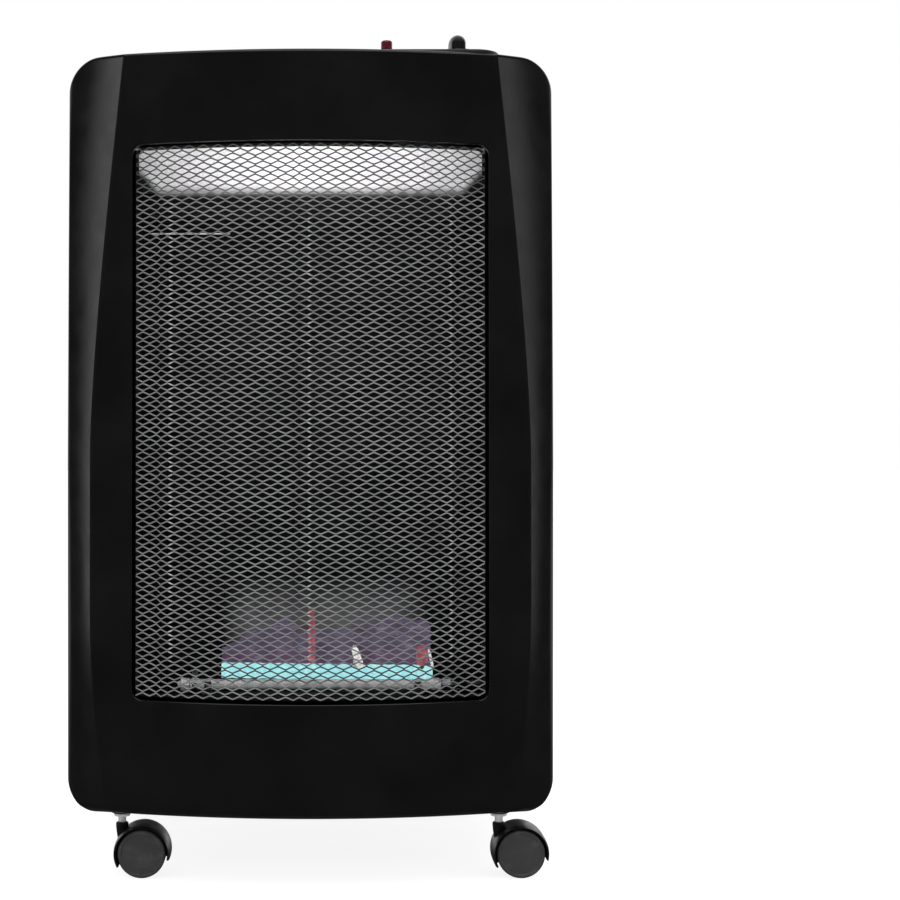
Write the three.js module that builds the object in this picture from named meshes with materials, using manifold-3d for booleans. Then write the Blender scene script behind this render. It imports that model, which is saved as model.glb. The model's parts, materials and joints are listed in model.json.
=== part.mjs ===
// A slim portable gas cabinet heater that stands on four casters.
//
// Millimetres, +Z up. x runs from side to side, y from the bowed front (0) to the rear, and z up
// from the floor. The last group moves everything so that the origin lies under the middle of
// the whole heater. At rest the base tray is folded down to carry the gas cylinder, and the rear
// guard hangs down.
import * as THREE from 'three';
import { mergeVertices } from 'three/addons/utils/BufferGeometryUtils.js';
import Module from 'manifold-3d';

const wasm = await Module();
wasm.setup();

// Clearance between pieces that touch.
const GAP = 0.3;

// Half way from the guard's ribs to the lowered tray's far edge.
const MIDDLE_Y = 189.8;

// Cabinet
const HALF_WIDTH = 210;
const BODY_BOTTOM = 57;
const BODY_TOP = 708;
const BODY_REAR = 122;
const TOP_CORNER = 29;
const BOTTOM_CORNER = 31;
const TOP_EDGE = 3;
const BOTTOM_ROLL = { height: 10, depth: 34 };
const WALL = 2;
const LEAN_START = 200;
const TOP_LEAN = 10.5;
const BOTTOM_LEAN = 4.5;
const SKIRT_TOP = 68;
const REAR_FLANGE = 24;

// Window and guard
const WINDOW = { halfWidth: 152, bottom: 158, top: 631, corner: 9, lip: 9, lipWall: 1.6 };
const EDGE_BOW = 34;
const GUARD = { halfWidth: 149.4, bottom: 160.8, top: 628.4, wall: 1.2, flange: 16, frame: 3.4 };
const RIB_RIDGES = [-121.5, -2.6, 122];
const RIB = { left: 11.6, flank: 6.8, right: 6.5, height: 4 };
const STRAND = 0.87;

// Combustion chamber
const SHEET = 1.2;
const BULKHEAD = 104;
const CHAMBER_HALF = 150.2;
const FLOOR_TOP = GUARD.bottom - GAP;
const BURNER_Y = 76;
const PROBE_Y = 59;
const BURNER_TOP = 171;
const TUBE_Y = 48;
const TUBE_Z = 168.7;

// Controls
const CONTROL_Y = 84;
const KNOB_X = 128.7;
const BUTTON_X = 66.9;
const PANEL = { left: 47, right: 162, front: 32, back: 108, thick: 3.4 };
const KNOB_TRAVEL = 2.5;

// Folding rear
const PLATE = 1.5;
const TRAY = { halfWidth: 200, depth: 17.2, hingeY: 143.2, hingeZ: 63.5, length: 240 };
const HANGER = { halfWidth: 186, depth: 18, hingeY: 137.5, hingeZ: 678, length: 188, lean: 1.5 };
const HINGE_ROD = 2.5;
const HINGE_BORE = 2.8;
const LUG_RADIUS = 4.5;

// Casters
const CASTER_X = 164;
const FRONT_CASTER_Y = 70;
const REAR_CASTER_Y = 362;
const WHEEL = { radius: 20.8, trail: 18, inner: 4, outer: 17, bore: 3.3, sides: 16 };
const HOOD = { outer: 24.6, inner: 22, half: 18.5, web: 3 };

// ---------------------------------------------------------------- solids

/** A closed geometry as a solid that can be cut and joined, its faces turned outwards. */
function solidOf(geometry) {
  const bare = geometry.clone();
  for (const name of Object.keys(bare.attributes)) {
    if (name !== 'position') bare.deleteAttribute(name);
  }
  const merged = mergeVertices(bare, 1e-4);
  const points = new Float32Array(merged.attributes.position.array);
  const corners = [];
  const index = merged.index.array;
  for (let i = 0; i < index.length; i += 3) {
    const [a, b, c] = [index[i], index[i + 1], index[i + 2]];
    if (a !== b && b !== c && c !== a) corners.push(a, b, c);
  }
  if (signedVolume(points, corners) < 0) corners.reverse();
  const mesh = new wasm.Mesh({
    numProp: 3, vertProperties: points, triVerts: new Uint32Array(corners),
  });
  return new wasm.Manifold(mesh);
}

/** Six times the volume inside a triangle mesh, negative where its faces point inwards. */
function signedVolume(points, corners) {
  const at = i => new THREE.Vector3().fromArray(points, 3 * i);
  let volume = 0;
  for (let i = 0; i < corners.length; i += 3) {
    volume += at(corners[i]).cross(at(corners[i + 1])).dot(at(corners[i + 2]));
  }
  return volume;
}

/** The triangles of a solid as a geometry. */
function geometryOf(solid) {
  const mesh = solid.getMesh();
  const geometry = new THREE.BufferGeometry();
  geometry.setAttribute('position', new THREE.BufferAttribute(mesh.vertProperties, 3));
  geometry.setIndex(new THREE.BufferAttribute(mesh.triVerts, 1));
  geometry.computeVertexNormals();
  return geometry;
}

const join = (...solids) => solids.reduce((all, next) => all.add(next));
const cut = (solid, ...tools) => tools.reduce((rest, tool) => rest.subtract(tool), solid);

/** A block between two corners. */
function block(x0, x1, y0, y1, z0, z1) {
  const geometry = new THREE.BoxGeometry(x1 - x0, y1 - y0, z1 - z0);
  return solidOf(geometry.translate((x0 + x1) / 2, (y0 + y1) / 2, (z0 + z1) / 2));
}

/** An outline in x and y, carried up from z0 to z1. */
function alongZ(shape, z0, z1, curveSegments = 2) {
  const options = { depth: z1 - z0, bevelEnabled: false, curveSegments };
  return solidOf(new THREE.ExtrudeGeometry(shape, options).translate(0, 0, z0));
}

/** An outline in x and z, carried back from y0 to y1. */
function alongY(shape, y0, y1, curveSegments = 2) {
  const options = { depth: y1 - y0, bevelEnabled: false, curveSegments };
  const geometry = new THREE.ExtrudeGeometry(shape, options);
  return solidOf(geometry.rotateX(Math.PI / 2).translate(0, y1, 0));
}

/** An outline in y and z, carried across from x0 to x1. */
function alongX(shape, x0, x1, curveSegments = 2) {
  const options = { depth: x1 - x0, bevelEnabled: false, curveSegments };
  const geometry = new THREE.ExtrudeGeometry(shape, options);
  const turn = new THREE.Matrix4().makeBasis(
    new THREE.Vector3(0, 1, 0), new THREE.Vector3(0, 0, 1), new THREE.Vector3(1, 0, 0));
  return solidOf(geometry.applyMatrix4(turn).translate(x0, 0, 0));
}

const outline = points => new THREE.Shape(points.map(([a, b]) => new THREE.Vector2(a, b)));

/** A rectangle with rounded corners. */
function roundedRectangle(a0, a1, b0, b1, r) {
  const shape = new THREE.Shape();
  shape.moveTo(a0 + r, b0);
  shape.lineTo(a1 - r, b0);
  shape.absarc(a1 - r, b0 + r, r, -Math.PI / 2, 0);
  shape.lineTo(a1, b1 - r);
  shape.absarc(a1 - r, b1 - r, r, 0, Math.PI / 2);
  shape.lineTo(a0 + r, b1);
  shape.absarc(a0 + r, b1 - r, r, Math.PI / 2, Math.PI);
  shape.lineTo(a0, b0 + r);
  shape.absarc(a0 + r, b0 + r, r, Math.PI, 1.5 * Math.PI);
  return shape;
}

/** A round bar along an axis through a point, from one place to another on that axis. */
function bar(axis, radius, from, to, centre, sides = 12) {
  const geometry = new THREE.CylinderGeometry(radius, radius, to - from, sides);
  geometry.rotateY(Math.PI / sides);
  const middle = (from + to) / 2;
  const [u, v] = centre;
  if (axis === 'x') return solidOf(geometry.rotateZ(-Math.PI / 2).translate(middle, u, v));
  if (axis === 'y') return solidOf(geometry.translate(u, middle, v));
  return solidOf(geometry.rotateX(Math.PI / 2).translate(u, v, middle));
}

/** A profile of [radius, height] points turned about the z axis through (x, y). */
function turned(profile, x, y, sides = 12) {
  const points = profile.map(([r, h]) => new THREE.Vector2(r, h));
  const geometry = new THREE.LatheGeometry(points, sides);
  return solidOf(geometry.rotateX(Math.PI / 2).translate(x, y, 0));
}

/** A closed skin through equal loops of points, with flat ends. */
function loft(loops) {
  const count = loops[0].length;
  const flat = loops[0].map(p => new THREE.Vector2(p.x, p.y));
  const cap = THREE.ShapeUtils.triangulateShape(flat, []);
  const last = (loops.length - 1) * count;
  const index = cap.flatMap(([a, b, c]) => [a, c, b]);
  index.push(...cap.flatMap(([a, b, c]) => [last + a, last + b, last + c]));
  for (let j = 0; j < loops.length - 1; j++) {
    for (let i = 0; i < count; i++) {
      const a = j * count + i;
      const b = j * count + (i + 1) % count;
      index.push(a, b, b + count, a, b + count, a + count);
    }
  }
  const geometry = new THREE.BufferGeometry().setFromPoints(loops.flat());
  return solidOf(geometry.setIndex(index));
}

/** A route of straight runs with rounded corners, sampled only where it bends. */
class Route extends THREE.Curve {
  constructor(corners, bend) {
    super();
    const p = corners.map(corner => new THREE.Vector3(...corner));
    this.points = [p[0]];
    for (let i = 1; i < p.length - 1; i++) {
      const before = p[i].clone().sub(p[i - 1]);
      const after = p[i + 1].clone().sub(p[i]);
      const reach = Math.min(bend, before.length() / 2.2, after.length() / 2.2);
      const start = p[i].clone().addScaledVector(before.normalize(), -reach);
      const end = p[i].clone().addScaledVector(after.normalize(), reach);
      this.points.push(...new THREE.QuadraticBezierCurve3(start, p[i], end).getPoints(2));
    }
    this.points.push(p[p.length - 1]);
  }

  getPoint(t) {
    const place = Math.min(t, 1) * (this.points.length - 1);
    const i = Math.min(Math.floor(place), this.points.length - 2);
    return this.points[i].clone().lerp(this.points[i + 1], place - i);
  }

  getPointAt(t) {
    return this.getPoint(t);
  }

  getTangentAt(t) {
    const step = 0.5 / (this.points.length - 1);
    const ahead = this.getPoint(Math.min(1, t + step));
    return ahead.sub(this.getPoint(Math.max(0, t - step))).normalize();
  }
}

/** A solid pipe or wire along a route. */
function pipe(corners, radius, bend, sides = 7) {
  const route = new Route(corners, bend);
  const section = new THREE.Shape();
  for (let i = 0; i < sides; i++) {
    const angle = 2 * Math.PI * i / sides;
    const point = [radius * Math.cos(angle), radius * Math.sin(angle)];
    if (i === 0) section.moveTo(...point);
    else section.lineTo(...point);
  }
  const options = { extrudePath: route, steps: route.points.length - 1, bevelEnabled: false };
  return solidOf(new THREE.ExtrudeGeometry(section, options));
}

// ---------------------------------------------------------------- materials

const paint = (color, roughness, metalness) =>
  () => new THREE.MeshStandardMaterial({ color, roughness, metalness });
const blackEnamel = paint(0x141415, 0.22, 0.1);
const satinBlack = paint(0x1d1d1f, 0.5, 0.1);
const sootedSteel = paint(0x232326, 0.75, 0.5);
const guardSteel = paint(0x8d8f92, 0.4, 0.9);
const galvanised = paint(0xc9cbcc, 0.6, 0.4);
const brightSteel = paint(0xc2c4c8, 0.25, 1);
const brass = paint(0xb08d4a, 0.35, 1);
const blackPlastic = paint(0x18181a, 0.4, 0);
const greyPlastic = paint(0x3a3a3d, 0.55, 0);
const redPlastic = paint(0x5e1018, 0.3, 0);
const ceramic = paint(0xe9e5dc, 0.5, 0);
const hotSteel = paint(0x8a2a18, 0.6, 0.6);

/** A named mesh of one solid. */
function part(name, solid, material) {
  const mesh = new THREE.Mesh(geometryOf(solid), material());
  mesh.name = name;
  return mesh;
}

// ---------------------------------------------------------------- the cabinet's outer form

/** How far the front's middle line lies behind y = 0, at a height. */
function lean(z) {
  const up = (z - LEAN_START) / (BODY_TOP - LEAN_START);
  const down = (LEAN_START - z) / (LEAN_START - BODY_BOTTOM);
  return z > LEAN_START ? TOP_LEAN * up ** 2 : BOTTOM_LEAN * down ** 2;
}

/** 0 at mid height, 1 at the cabinet's top and bottom, nearly flat between. */
function ending(z) {
  const middle = (BODY_TOP + BODY_BOTTOM) / 2;
  return ((z - middle) / (BODY_TOP - middle)) ** 4;
}

/** How far the front has bowed back at the window's edge. */
const edgeBow = z => EDGE_BOW - 12.4 * ending(z);

/** Where the front face creases into the pillar: narrow at the top, widest at mid height. */
function creaseX(z) {
  if (z > 410) return 196 - 35 * ((z - 410) / (BODY_TOP - 410)) ** 2;
  return z > 240 ? 196 : 196 - 15 * ((240 - z) / (240 - BODY_BOTTOM)) ** 2;
}

/** Where the pillar meets the flat side. */
function sideLine(z) {
  if (z > 350) return 58.5 + 13.5 * ((z - 350) / (BODY_TOP - 350)) ** 1.2;
  return 58.5 + 1.5 * ((350 - z) / (350 - BODY_BOTTOM)) ** 2;
}

/** Half the cabinet's width, with its rounded top and bottom corners. */
function halfWidth(z, inset) {
  const above = z - (BODY_TOP - TOP_CORNER);
  const below = BODY_BOTTOM + BOTTOM_CORNER - z;
  const radius = (above > 0 ? TOP_CORNER : BOTTOM_CORNER) - inset;
  const beyond = Math.min(Math.max(above, below, 0), radius);
  return HALF_WIDTH - inset - radius + Math.sqrt(radius ** 2 - beyond ** 2);
}

/** How far the front rolls back into the flat top and under the bottom. */
function frontRoll(z, inset) {
  const above = Math.min(z + inset - (BODY_TOP - TOP_EDGE), TOP_EDGE);
  if (above > 0) return TOP_EDGE - Math.sqrt(TOP_EDGE ** 2 - above ** 2);
  const { height, depth } = BOTTOM_ROLL;
  const below = Math.min(Math.max((BODY_BOTTOM + height - z + inset) / height, 0), 1);
  return depth * (1 - Math.sqrt(1 - below ** 2));
}

/** The front's right half at one height: bowed face, crease, then the rounded pillar. */
function frontHalf(z, inset) {
  const width = halfWidth(z, inset) + inset;
  const edge = WINDOW.halfWidth;
  const crease = Math.min(creaseX(z), width - 6);
  const front = lean(z) + frontRoll(z, inset);
  const points = [0, 0.25, 0.5, 0.75].map(f => [f * edge, front + edgeBow(z) * f ** 2]);
  const edgeY = front + edgeBow(z);
  const slope = 0.23 + 0.08 * ending(z);
  const side = Math.max(sideLine(z), edgeY + 12);
  const creaseY = edgeY + slope * (crease - edge);
  const knee = Math.min(creaseY + 0.55 * (width - crease), side - 2);
  const pillar = new THREE.QuadraticBezierCurve(
    new THREE.Vector2(crease, creaseY), new THREE.Vector2(width, knee),
    new THREE.Vector2(width, side));
  if (crease > edge + 1) points.push([edge, edgeY]);
  else points.push([crease - 4, edgeY - 1]);
  points.push(...pillar.getPoints(4).map(p => [p.x, p.y]));
  return points.map(([x, y]) => new THREE.Vector2(x, y));
}

/** Moves an open line of points inwards along its own normals. */
function insetLine(line, inset) {
  return line.map((point, i) => {
    const before = line[Math.max(i - 1, 0)];
    const after = line[Math.min(i + 1, line.length - 1)];
    const along = after.clone().sub(before).normalize();
    const shift = i === line.length - 1 ? new THREE.Vector2(-1, 0)
      : new THREE.Vector2(-along.y, along.x);
    if (i === 0) shift.set(0, 1);
    return point.clone().addScaledVector(shift, inset);
  });
}

/** The whole plan outline at one height, anticlockwise from the front's left end. */
function planLoop(z, inset) {
  const right = insetLine(frontHalf(z, inset), inset);
  const left = right.slice(1).reverse().map(p => new THREE.Vector2(-p.x, p.y));
  const width = right[right.length - 1].x;
  const rear = [new THREE.Vector2(width, BODY_REAR - inset),
    new THREE.Vector2(-width, BODY_REAR - inset)];
  return [...left, ...right, ...rear].map(p => new THREE.Vector3(p.x, p.y, z));
}

/** The heights of the plan sections, close together where the corners turn. */
function sectionHeights(inset) {
  const steps = [1, 0.77, 0.52, 0.26, 0];
  const turn = f => Math.sin(f * Math.PI / 2);
  const bottom = steps.map(f => BODY_BOTTOM + BOTTOM_CORNER - (BOTTOM_CORNER - inset) * turn(f));
  const top = steps.map(f => BODY_TOP - TOP_CORNER + (TOP_CORNER - inset) * turn(f)).reverse();
  return [...bottom, 150, 240, 325, 410, 500, 575, 635, ...top];
}

const cabinetForm = inset => loft(sectionHeights(inset).map(z => planLoop(z, inset)));

/** The region in front of the side line and below the skirt line, moved by a small shift. */
function frontRegion(shift) {
  const line = [700, 620, 540, 450, 350, 200, 110].map(z => [sideLine(z) + shift, z]);
  const turn = [[sideLine(90) + 3 + shift, 84 + shift], [72 + shift, 74 + shift],
    [88, SKIRT_TOP + shift], [BODY_REAR + 20, SKIRT_TOP + shift]];
  return alongX(outline([[-40, 20], [-40, 760], [sideLine(BODY_TOP) + shift, 760], ...line,
    ...turn, [BODY_REAR + 20, 20]]), -240, 240);
}

const windowShape = grow => roundedRectangle(-WINDOW.halfWidth - grow, WINDOW.halfWidth + grow,
  WINDOW.bottom - grow, WINDOW.top + grow, WINDOW.corner + grow);

// ---------------------------------------------------------------- cabinet pieces

/** The hollow enamelled shell, open at the rear inside a flange, before it is divided. */
function hollowCabinet() {
  const rear = roundedRectangle(-HALF_WIDTH + REAR_FLANGE, HALF_WIDTH - REAR_FLANGE,
    BODY_BOTTOM + REAR_FLANGE, BODY_TOP - REAR_FLANGE, 10);
  return cut(cabinetForm(0), cabinetForm(WALL), alongY(rear, BODY_REAR - 10, BODY_REAR + 10));
}

/** The bowed front with its window, the window's turned-in lip, and the bottom pan. */
function frontFascia(hollow) {
  const whole = cabinetForm(0);
  const rim = cut(alongY(windowShape(WINDOW.lipWall), -10, 70), alongY(windowShape(0), -20, 80));
  const lip = cut(rim.intersect(whole), whole.translate([0, WINDOW.lip, 0]));
  const skin = cut(hollow.intersect(frontRegion(-GAP / 2)), alongY(windowShape(0), -20, 80));
  const sockets = [-1, 1].map(side =>
    bar('z', 6.8, BODY_BOTTOM - 5, BODY_BOTTOM + 5, [side * CASTER_X, FRONT_CASTER_Y]));
  return part('front_fascia', cut(join(skin, lip), ...sockets), blackEnamel);
}

/** The top and sides behind the side line, with the rear flange. */
function cabinetShell(hollow) {
  const knobHole = bar('z', 8.4, BODY_TOP - 5, BODY_TOP + 5, [KNOB_X, CONTROL_Y]);
  const buttonHole = bar('z', 7.4, BODY_TOP - 5, BODY_TOP + 5, [BUTTON_X, CONTROL_Y]);
  const shell = cut(hollow, frontRegion(GAP / 2), knobHole, buttonHole);
  return part('cabinet_shell', shell, blackEnamel);
}

/** A channel-section ring round the rear, hollow towards the cabinet. */
function rearFrame() {
  const y0 = BODY_REAR + GAP;
  const depth = 9.4;
  const ring = (grow, from, to) => {
    const shape = roundedRectangle(-203 + grow, 203 - grow, 62 + grow, 703 - grow, 24 - grow);
    shape.holes.push(roundedRectangle(-189 - grow, 189 + grow, 76 - grow, 689 + grow, 9 + grow));
    return alongY(shape, from, to);
  };
  const frame = cut(ring(0, y0, y0 + depth), ring(1.5, y0 - 5, y0 + depth - 1.5));
  return part('rear_frame', frame, satinBlack);
}

/** One louvre: a hood pressed outwards over a slot, open underneath. */
function louvre(x, z, y, half) {
  const rise = 3;
  const hood = outline([[y, z + 6], [y + rise, z - 1], [y + rise, z - 2.2], [y, z - 2.2]]);
  const hollow = outline([[y - 5, z + 4.4], [y, z + 4.4], [y + rise - 1, z - 1],
    [y + rise - 1, z - 4], [y - 5, z - 4]]);
  return {
    hood: alongX(hood, x - half, x + half),
    hollow: alongX(hollow, x - half + 1.2, x + half - 1.2),
  };
}

/** The closing sheet, with two banks of louvres and the hole for the gas inlet. */
function rearPanel() {
  const y0 = BODY_REAR + GAP;
  const sheet = alongY(roundedRectangle(-188.7, 188.7, 76.3, 688.7, 8.7), y0, y0 + PLATE);
  const louvres = [];
  for (const z of [340, 365, 390]) {
    for (const x of [-80, 80]) louvres.push(louvre(x, z, y0 + PLATE, 55));
  }
  for (const z of [590, 610]) {
    for (const x of [-80, 80]) louvres.push(louvre(x, z, y0 + PLATE, 55));
  }
  const hoods = join(sheet, ...louvres.map(item => item.hood));
  const inlet = bar('y', 6.4, y0 - 5, y0 + 5, [150, 462]);
  return part('rear_panel', cut(hoods, inlet, ...louvres.map(item => item.hollow)), satinBlack);
}

// ---------------------------------------------------------------- the expanded-metal guard

/** How far a pressed rib stands forward at x. */
function ribRise(x) {
  for (const ridge of RIB_RIDGES) {
    const start = ridge - RIB.left;
    const crest = ridge - RIB.flank;
    const end = ridge + RIB.right;
    if (x > start && x < end) {
      if (x < crest) return RIB.height * (x - start) / (crest - start);
      return x < ridge ? RIB.height : RIB.height * (end - x) / (end - ridge);
    }
  }
  return 0;
}

/** The guard's front surface: the front's bow and lean, with the three upright ribs. */
function guardY(x, z) {
  const bow = edgeBow(z) * (x / WINDOW.halfWidth) ** 2;
  const inRibs = z > GUARD.bottom + 14 && z < GUARD.top - 44;
  return 0.4 + lean(z) + bow - (inRibs ? ribRise(x) : 0);
}

/** Column places across the guard: closer together on the ribs than between them. */
function guardColumns() {
  const edge = GUARD.halfWidth - GUARD.frame;
  const stops = [-edge];
  for (const ridge of RIB_RIDGES) {
    stops.push(ridge - RIB.left, ridge - RIB.flank / 2, ridge + RIB.right);
  }
  stops.push(edge);
  const columns = [];
  for (let i = 0; i < stops.length - 1; i++) {
    const wide = stops[i + 1] - stops[i];
    const parts = wide > 60 ? 3 : 1;
    for (let k = 0; k < parts; k++) columns.push(stops[i] + wide * k / parts);
  }
  return [...columns, edge];
}

/**
 * Expanded metal: a lattice of diamonds pressed to the bow, with its edges folded back.
 * Each cell between two columns and two half rows holds one strand. The corners of a cell are
 * by turns the middle of a diamond and the bond between four strands.
 */
function meshGuard() {
  const columns = guardColumns();
  const halfRows = 20;
  const low = GUARD.bottom + GUARD.frame;
  const pitch = (GUARD.top - GUARD.frame - low) / halfRows;
  const points = [];
  const index = [];
  const known = new Map();
  const vertex = (x, z, back, y) => {
    const key = [x.toFixed(3), z.toFixed(3), back].join();
    if (!known.has(key)) {
      known.set(key, points.length);
      const skin = guardY(x, z) + (back === 'back' ? GUARD.wall : 0);
      points.push(new THREE.Vector3(x, y === undefined ? skin : y, z));
    }
    return known.get(key);
  };
  const skins = loop => {
    for (const side of ['front', 'back']) {
      const ids = loop.map(([x, z]) => vertex(x, z, side));
      for (let i = 1; i < ids.length - 1; i++) {
        if (side === 'front') index.push(ids[0], ids[i], ids[i + 1]);
        else index.push(ids[0], ids[i + 1], ids[i]);
      }
    }
  };
  const wall = ([x0, z0], [x1, z1]) => {
    const [a, b] = [vertex(x0, z0, 'front'), vertex(x1, z1, 'front')];
    const [c, d] = [vertex(x1, z1, 'back'), vertex(x0, z0, 'back')];
    index.push(b, a, d, b, d, c);
  };
  const rows = Array.from({ length: halfRows + 1 }, (_, j) => low + j * pitch);

  for (let k = 0; k < columns.length - 1; k++) {
    for (let j = 0; j < halfRows; j++) {
      const [x0, x1, z0, z1] = [columns[k], columns[k + 1], rows[j], rows[j + 1]];
      const dx = STRAND * (x1 - x0);
      const dz = STRAND * (z1 - z0);
      if ((k + j) % 2) {
        skins([[x0 + dx, z0], [x1, z0], [x1, z1 - dz], [x1 - dx, z1], [x0, z1], [x0, z0 + dz]]);
        wall([x0, z0 + dz], [x0 + dx, z0]);
        wall([x1, z1 - dz], [x1 - dx, z1]);
      } else {
        skins([[x0, z0], [x1 - dx, z0], [x1, z0 + dz], [x1, z1], [x0 + dx, z1], [x0, z1 - dz]]);
        wall([x1 - dx, z0], [x1, z0 + dz]);
        wall([x0 + dx, z1], [x0, z1 - dz]);
      }
    }
  }
  guardEdges(columns, rows, { points, index, wall });
  const geometry = new THREE.BufferGeometry().setFromPoints(points);
  return part('mesh_guard', solidOf(geometry.setIndex(index)), guardSteel);
}

/** The plain margin round the lattice, and the flange folded back from it. */
function guardEdges(columns, rows, { points, index, wall }) {
  const [x0, x1] = [columns[0], columns[columns.length - 1]];
  const [z0, z1] = [rows[0], rows[rows.length - 1]];
  const ring = [];
  const walk = (count, at, open) => {
    for (let i = 0; i < count; i++) {
      const [p, q] = [at(i), at(i + 1)];
      const hole = open(i);
      const f = hole === 'first' ? STRAND : 1 - STRAND;
      const mid = [p[0] + (q[0] - p[0]) * f, p[1] + (q[1] - p[1]) * f];
      ring.push({ p, q: mid, open: hole === 'first' }, { p: mid, q, open: hole !== 'first' });
    }
  };
  const nx = columns.length - 1;
  const nz = rows.length - 1;
  const holeAt = (k, j) => (k + j) % 2 === 1;
  walk(nx, i => [columns[i], z0], i => (holeAt(i, 0) ? 'first' : 'last'));
  walk(nz, i => [x1, rows[i]], i => (holeAt(nx, i) ? 'first' : 'last'));
  walk(nx, i => [columns[nx - i], z1], i => (holeAt(nx - i, nz) ? 'first' : 'last'));
  walk(nz, i => [x0, rows[nz - i]], i => (holeAt(0, nz - i) ? 'first' : 'last'));

  const outwards = (value, low, high) => (value === high ? 1 : value === low ? -1 : 0);
  const spread = ([x, z], reach) => {
    const [u, v] = [outwards(x, x0, x1), outwards(z, z0, z1)];
    const out = u && v ? reach * 0.5 : reach;
    return [x + u * out, z + v * out];
  };
  const margin = GUARD.frame - GUARD.wall;
  const deep = ([x, z], reach) => {
    const [px, pz] = spread([x, z], reach);
    points.push(new THREE.Vector3(px, guardY(x, z) + GUARD.flange, pz));
    return points.length - 1;
  };
  const outerDeep = ring.map(({ p }) => deep(p, GUARD.frame));
  const innerDeep = ring.map(({ p }) => deep(p, margin));
  const edgeFront = ring.map(({ p }) => {
    const [x, z] = spread(p, GUARD.frame);
    points.push(new THREE.Vector3(x, guardY(x, z), z));
    return points.length - 1;
  });
  const edgeBack = ring.map(({ p }) => {
    const [x, z] = spread(p, margin);
    points.push(new THREE.Vector3(x, guardY(x, z) + GUARD.wall, z));
    return points.length - 1;
  });
  const find = (place, back) => {
    const y = guardY(...place) + (back ? GUARD.wall : 0);
    points.push(new THREE.Vector3(place[0], y, place[1]));
    return points.length - 1;
  };
  ring.forEach(({ p, q, open }, i) => {
    const n = (i + 1) % ring.length;
    const quad = (a, b, c, d) => index.push(a, b, c, a, c, d);
    quad(find(q), find(p), edgeFront[i], edgeFront[n]);
    quad(find(p, true), find(q, true), edgeBack[n], edgeBack[i]);
    quad(edgeFront[n], edgeFront[i], outerDeep[i], outerDeep[n]);
    quad(outerDeep[n], outerDeep[i], innerDeep[i], innerDeep[n]);
    quad(innerDeep[n], innerDeep[i], edgeBack[i], edgeBack[n]);
    if (open) wall(q, p);
  });
}

// ---------------------------------------------------------------- combustion chamber

/** The full-width partition behind the fire, with turned side edges and a pressed seam. */
function bulkhead() {
  const half = HALF_WIDTH - WALL - GAP;
  const section = outline([[-half, BULKHEAD - 9], [-half + SHEET, BULKHEAD - 9],
    [-half + SHEET, BULKHEAD], [half - SHEET, BULKHEAD], [half - SHEET, BULKHEAD - 9],
    [half, BULKHEAD - 9], [half, BULKHEAD + SHEET], [-half, BULKHEAD + SHEET]]);
  const sheet = alongZ(section, 98, 646);
  const seam = block(-144, 144, BULKHEAD - 1.5, BULKHEAD + 0.5, 555, 558);
  return part('chamber_bulkhead', join(sheet, seam), sootedSteel);
}

/** An upright chamber side with a flange onto the partition. */
function chamberSide(name, side) {
  const [x0, x1] = [CHAMBER_HALF, CHAMBER_HALF + SHEET];
  const back = BULKHEAD - GAP;
  const points = [[x0, 49], [x1, 49], [x1, back - SHEET], [x1 + 14, back - SHEET],
    [x1 + 14, back], [x0, back]];
  const wall = alongZ(outline(points.map(([x, y]) => [side * x, y])), 120, GUARD.top + 4);
  const tools = side < 0 ? [] : [
    bar('x', 3.6, x0 - 5, x1 + 5, [TUBE_Y + 8, TUBE_Z]),
    bar('x', 2.4, x0 - 5, x1 + 5, [66, 163.6]),
    bar('x', 2.4, x0 - 5, x1 + 5, [76, 163.4]),
  ];
  return part(name, cut(wall, ...tools), sootedSteel);
}

/** The chamber's floor, its front edge following the bow, slotted for air. */
function chamberFloor() {
  const half = CHAMBER_HALF - GAP;
  const edge = [];
  for (let i = 0; i <= 10; i++) {
    const x = half * (i / 5 - 1);
    edge.push([x, guardY(x, GUARD.bottom) + WINDOW.lip + 0.6]);
  }
  const back = BULKHEAD - GAP;
  const sheet = alongZ(outline([...edge, [half, back], [-half, back]]),
    FLOOR_TOP - SHEET, FLOOR_TOP);
  const flange = block(-half, half, back - SHEET, back, FLOOR_TOP - 12, FLOOR_TOP);
  const slots = [-110, -70, -30, 30, 70, 110].map(x =>
    alongZ(roundedRectangle(x - 14, x + 14, 92, 98, 3), FLOOR_TOP - 5, FLOOR_TOP + 5, 1));
  return part('chamber_floor', cut(join(sheet, flange), ...slots), sootedSteel);
}

/** The bright sheet at the chamber's top that turns the heat forward. */
function heatDeflector() {
  const half = CHAMBER_HALF - GAP;
  const z = GUARD.top + GAP;
  const back = BULKHEAD - GAP;
  const profile = outline([[50, z], [60, z], [94, 597], [back - SHEET, 597], [back - SHEET, 575],
    [back, 575], [back, 597 + SHEET], [94.7, 597 + SHEET], [60.7, z + SHEET], [50, z + SHEET]]);
  return part('heat_deflector', alongX(profile, -half, half), galvanised);
}

/** The burner's mixing tube, which crosses in front of the burner. */
function burnerTube() {
  const tube = bar('x', 4.4, -103.5, 112, [TUBE_Y, TUBE_Z], 12);
  const bead = bar('x', 5.4, 104, 111, [TUBE_Y, TUBE_Z], 12);
  return part('burner_tube', join(tube, bead), brightSteel);
}

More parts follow.
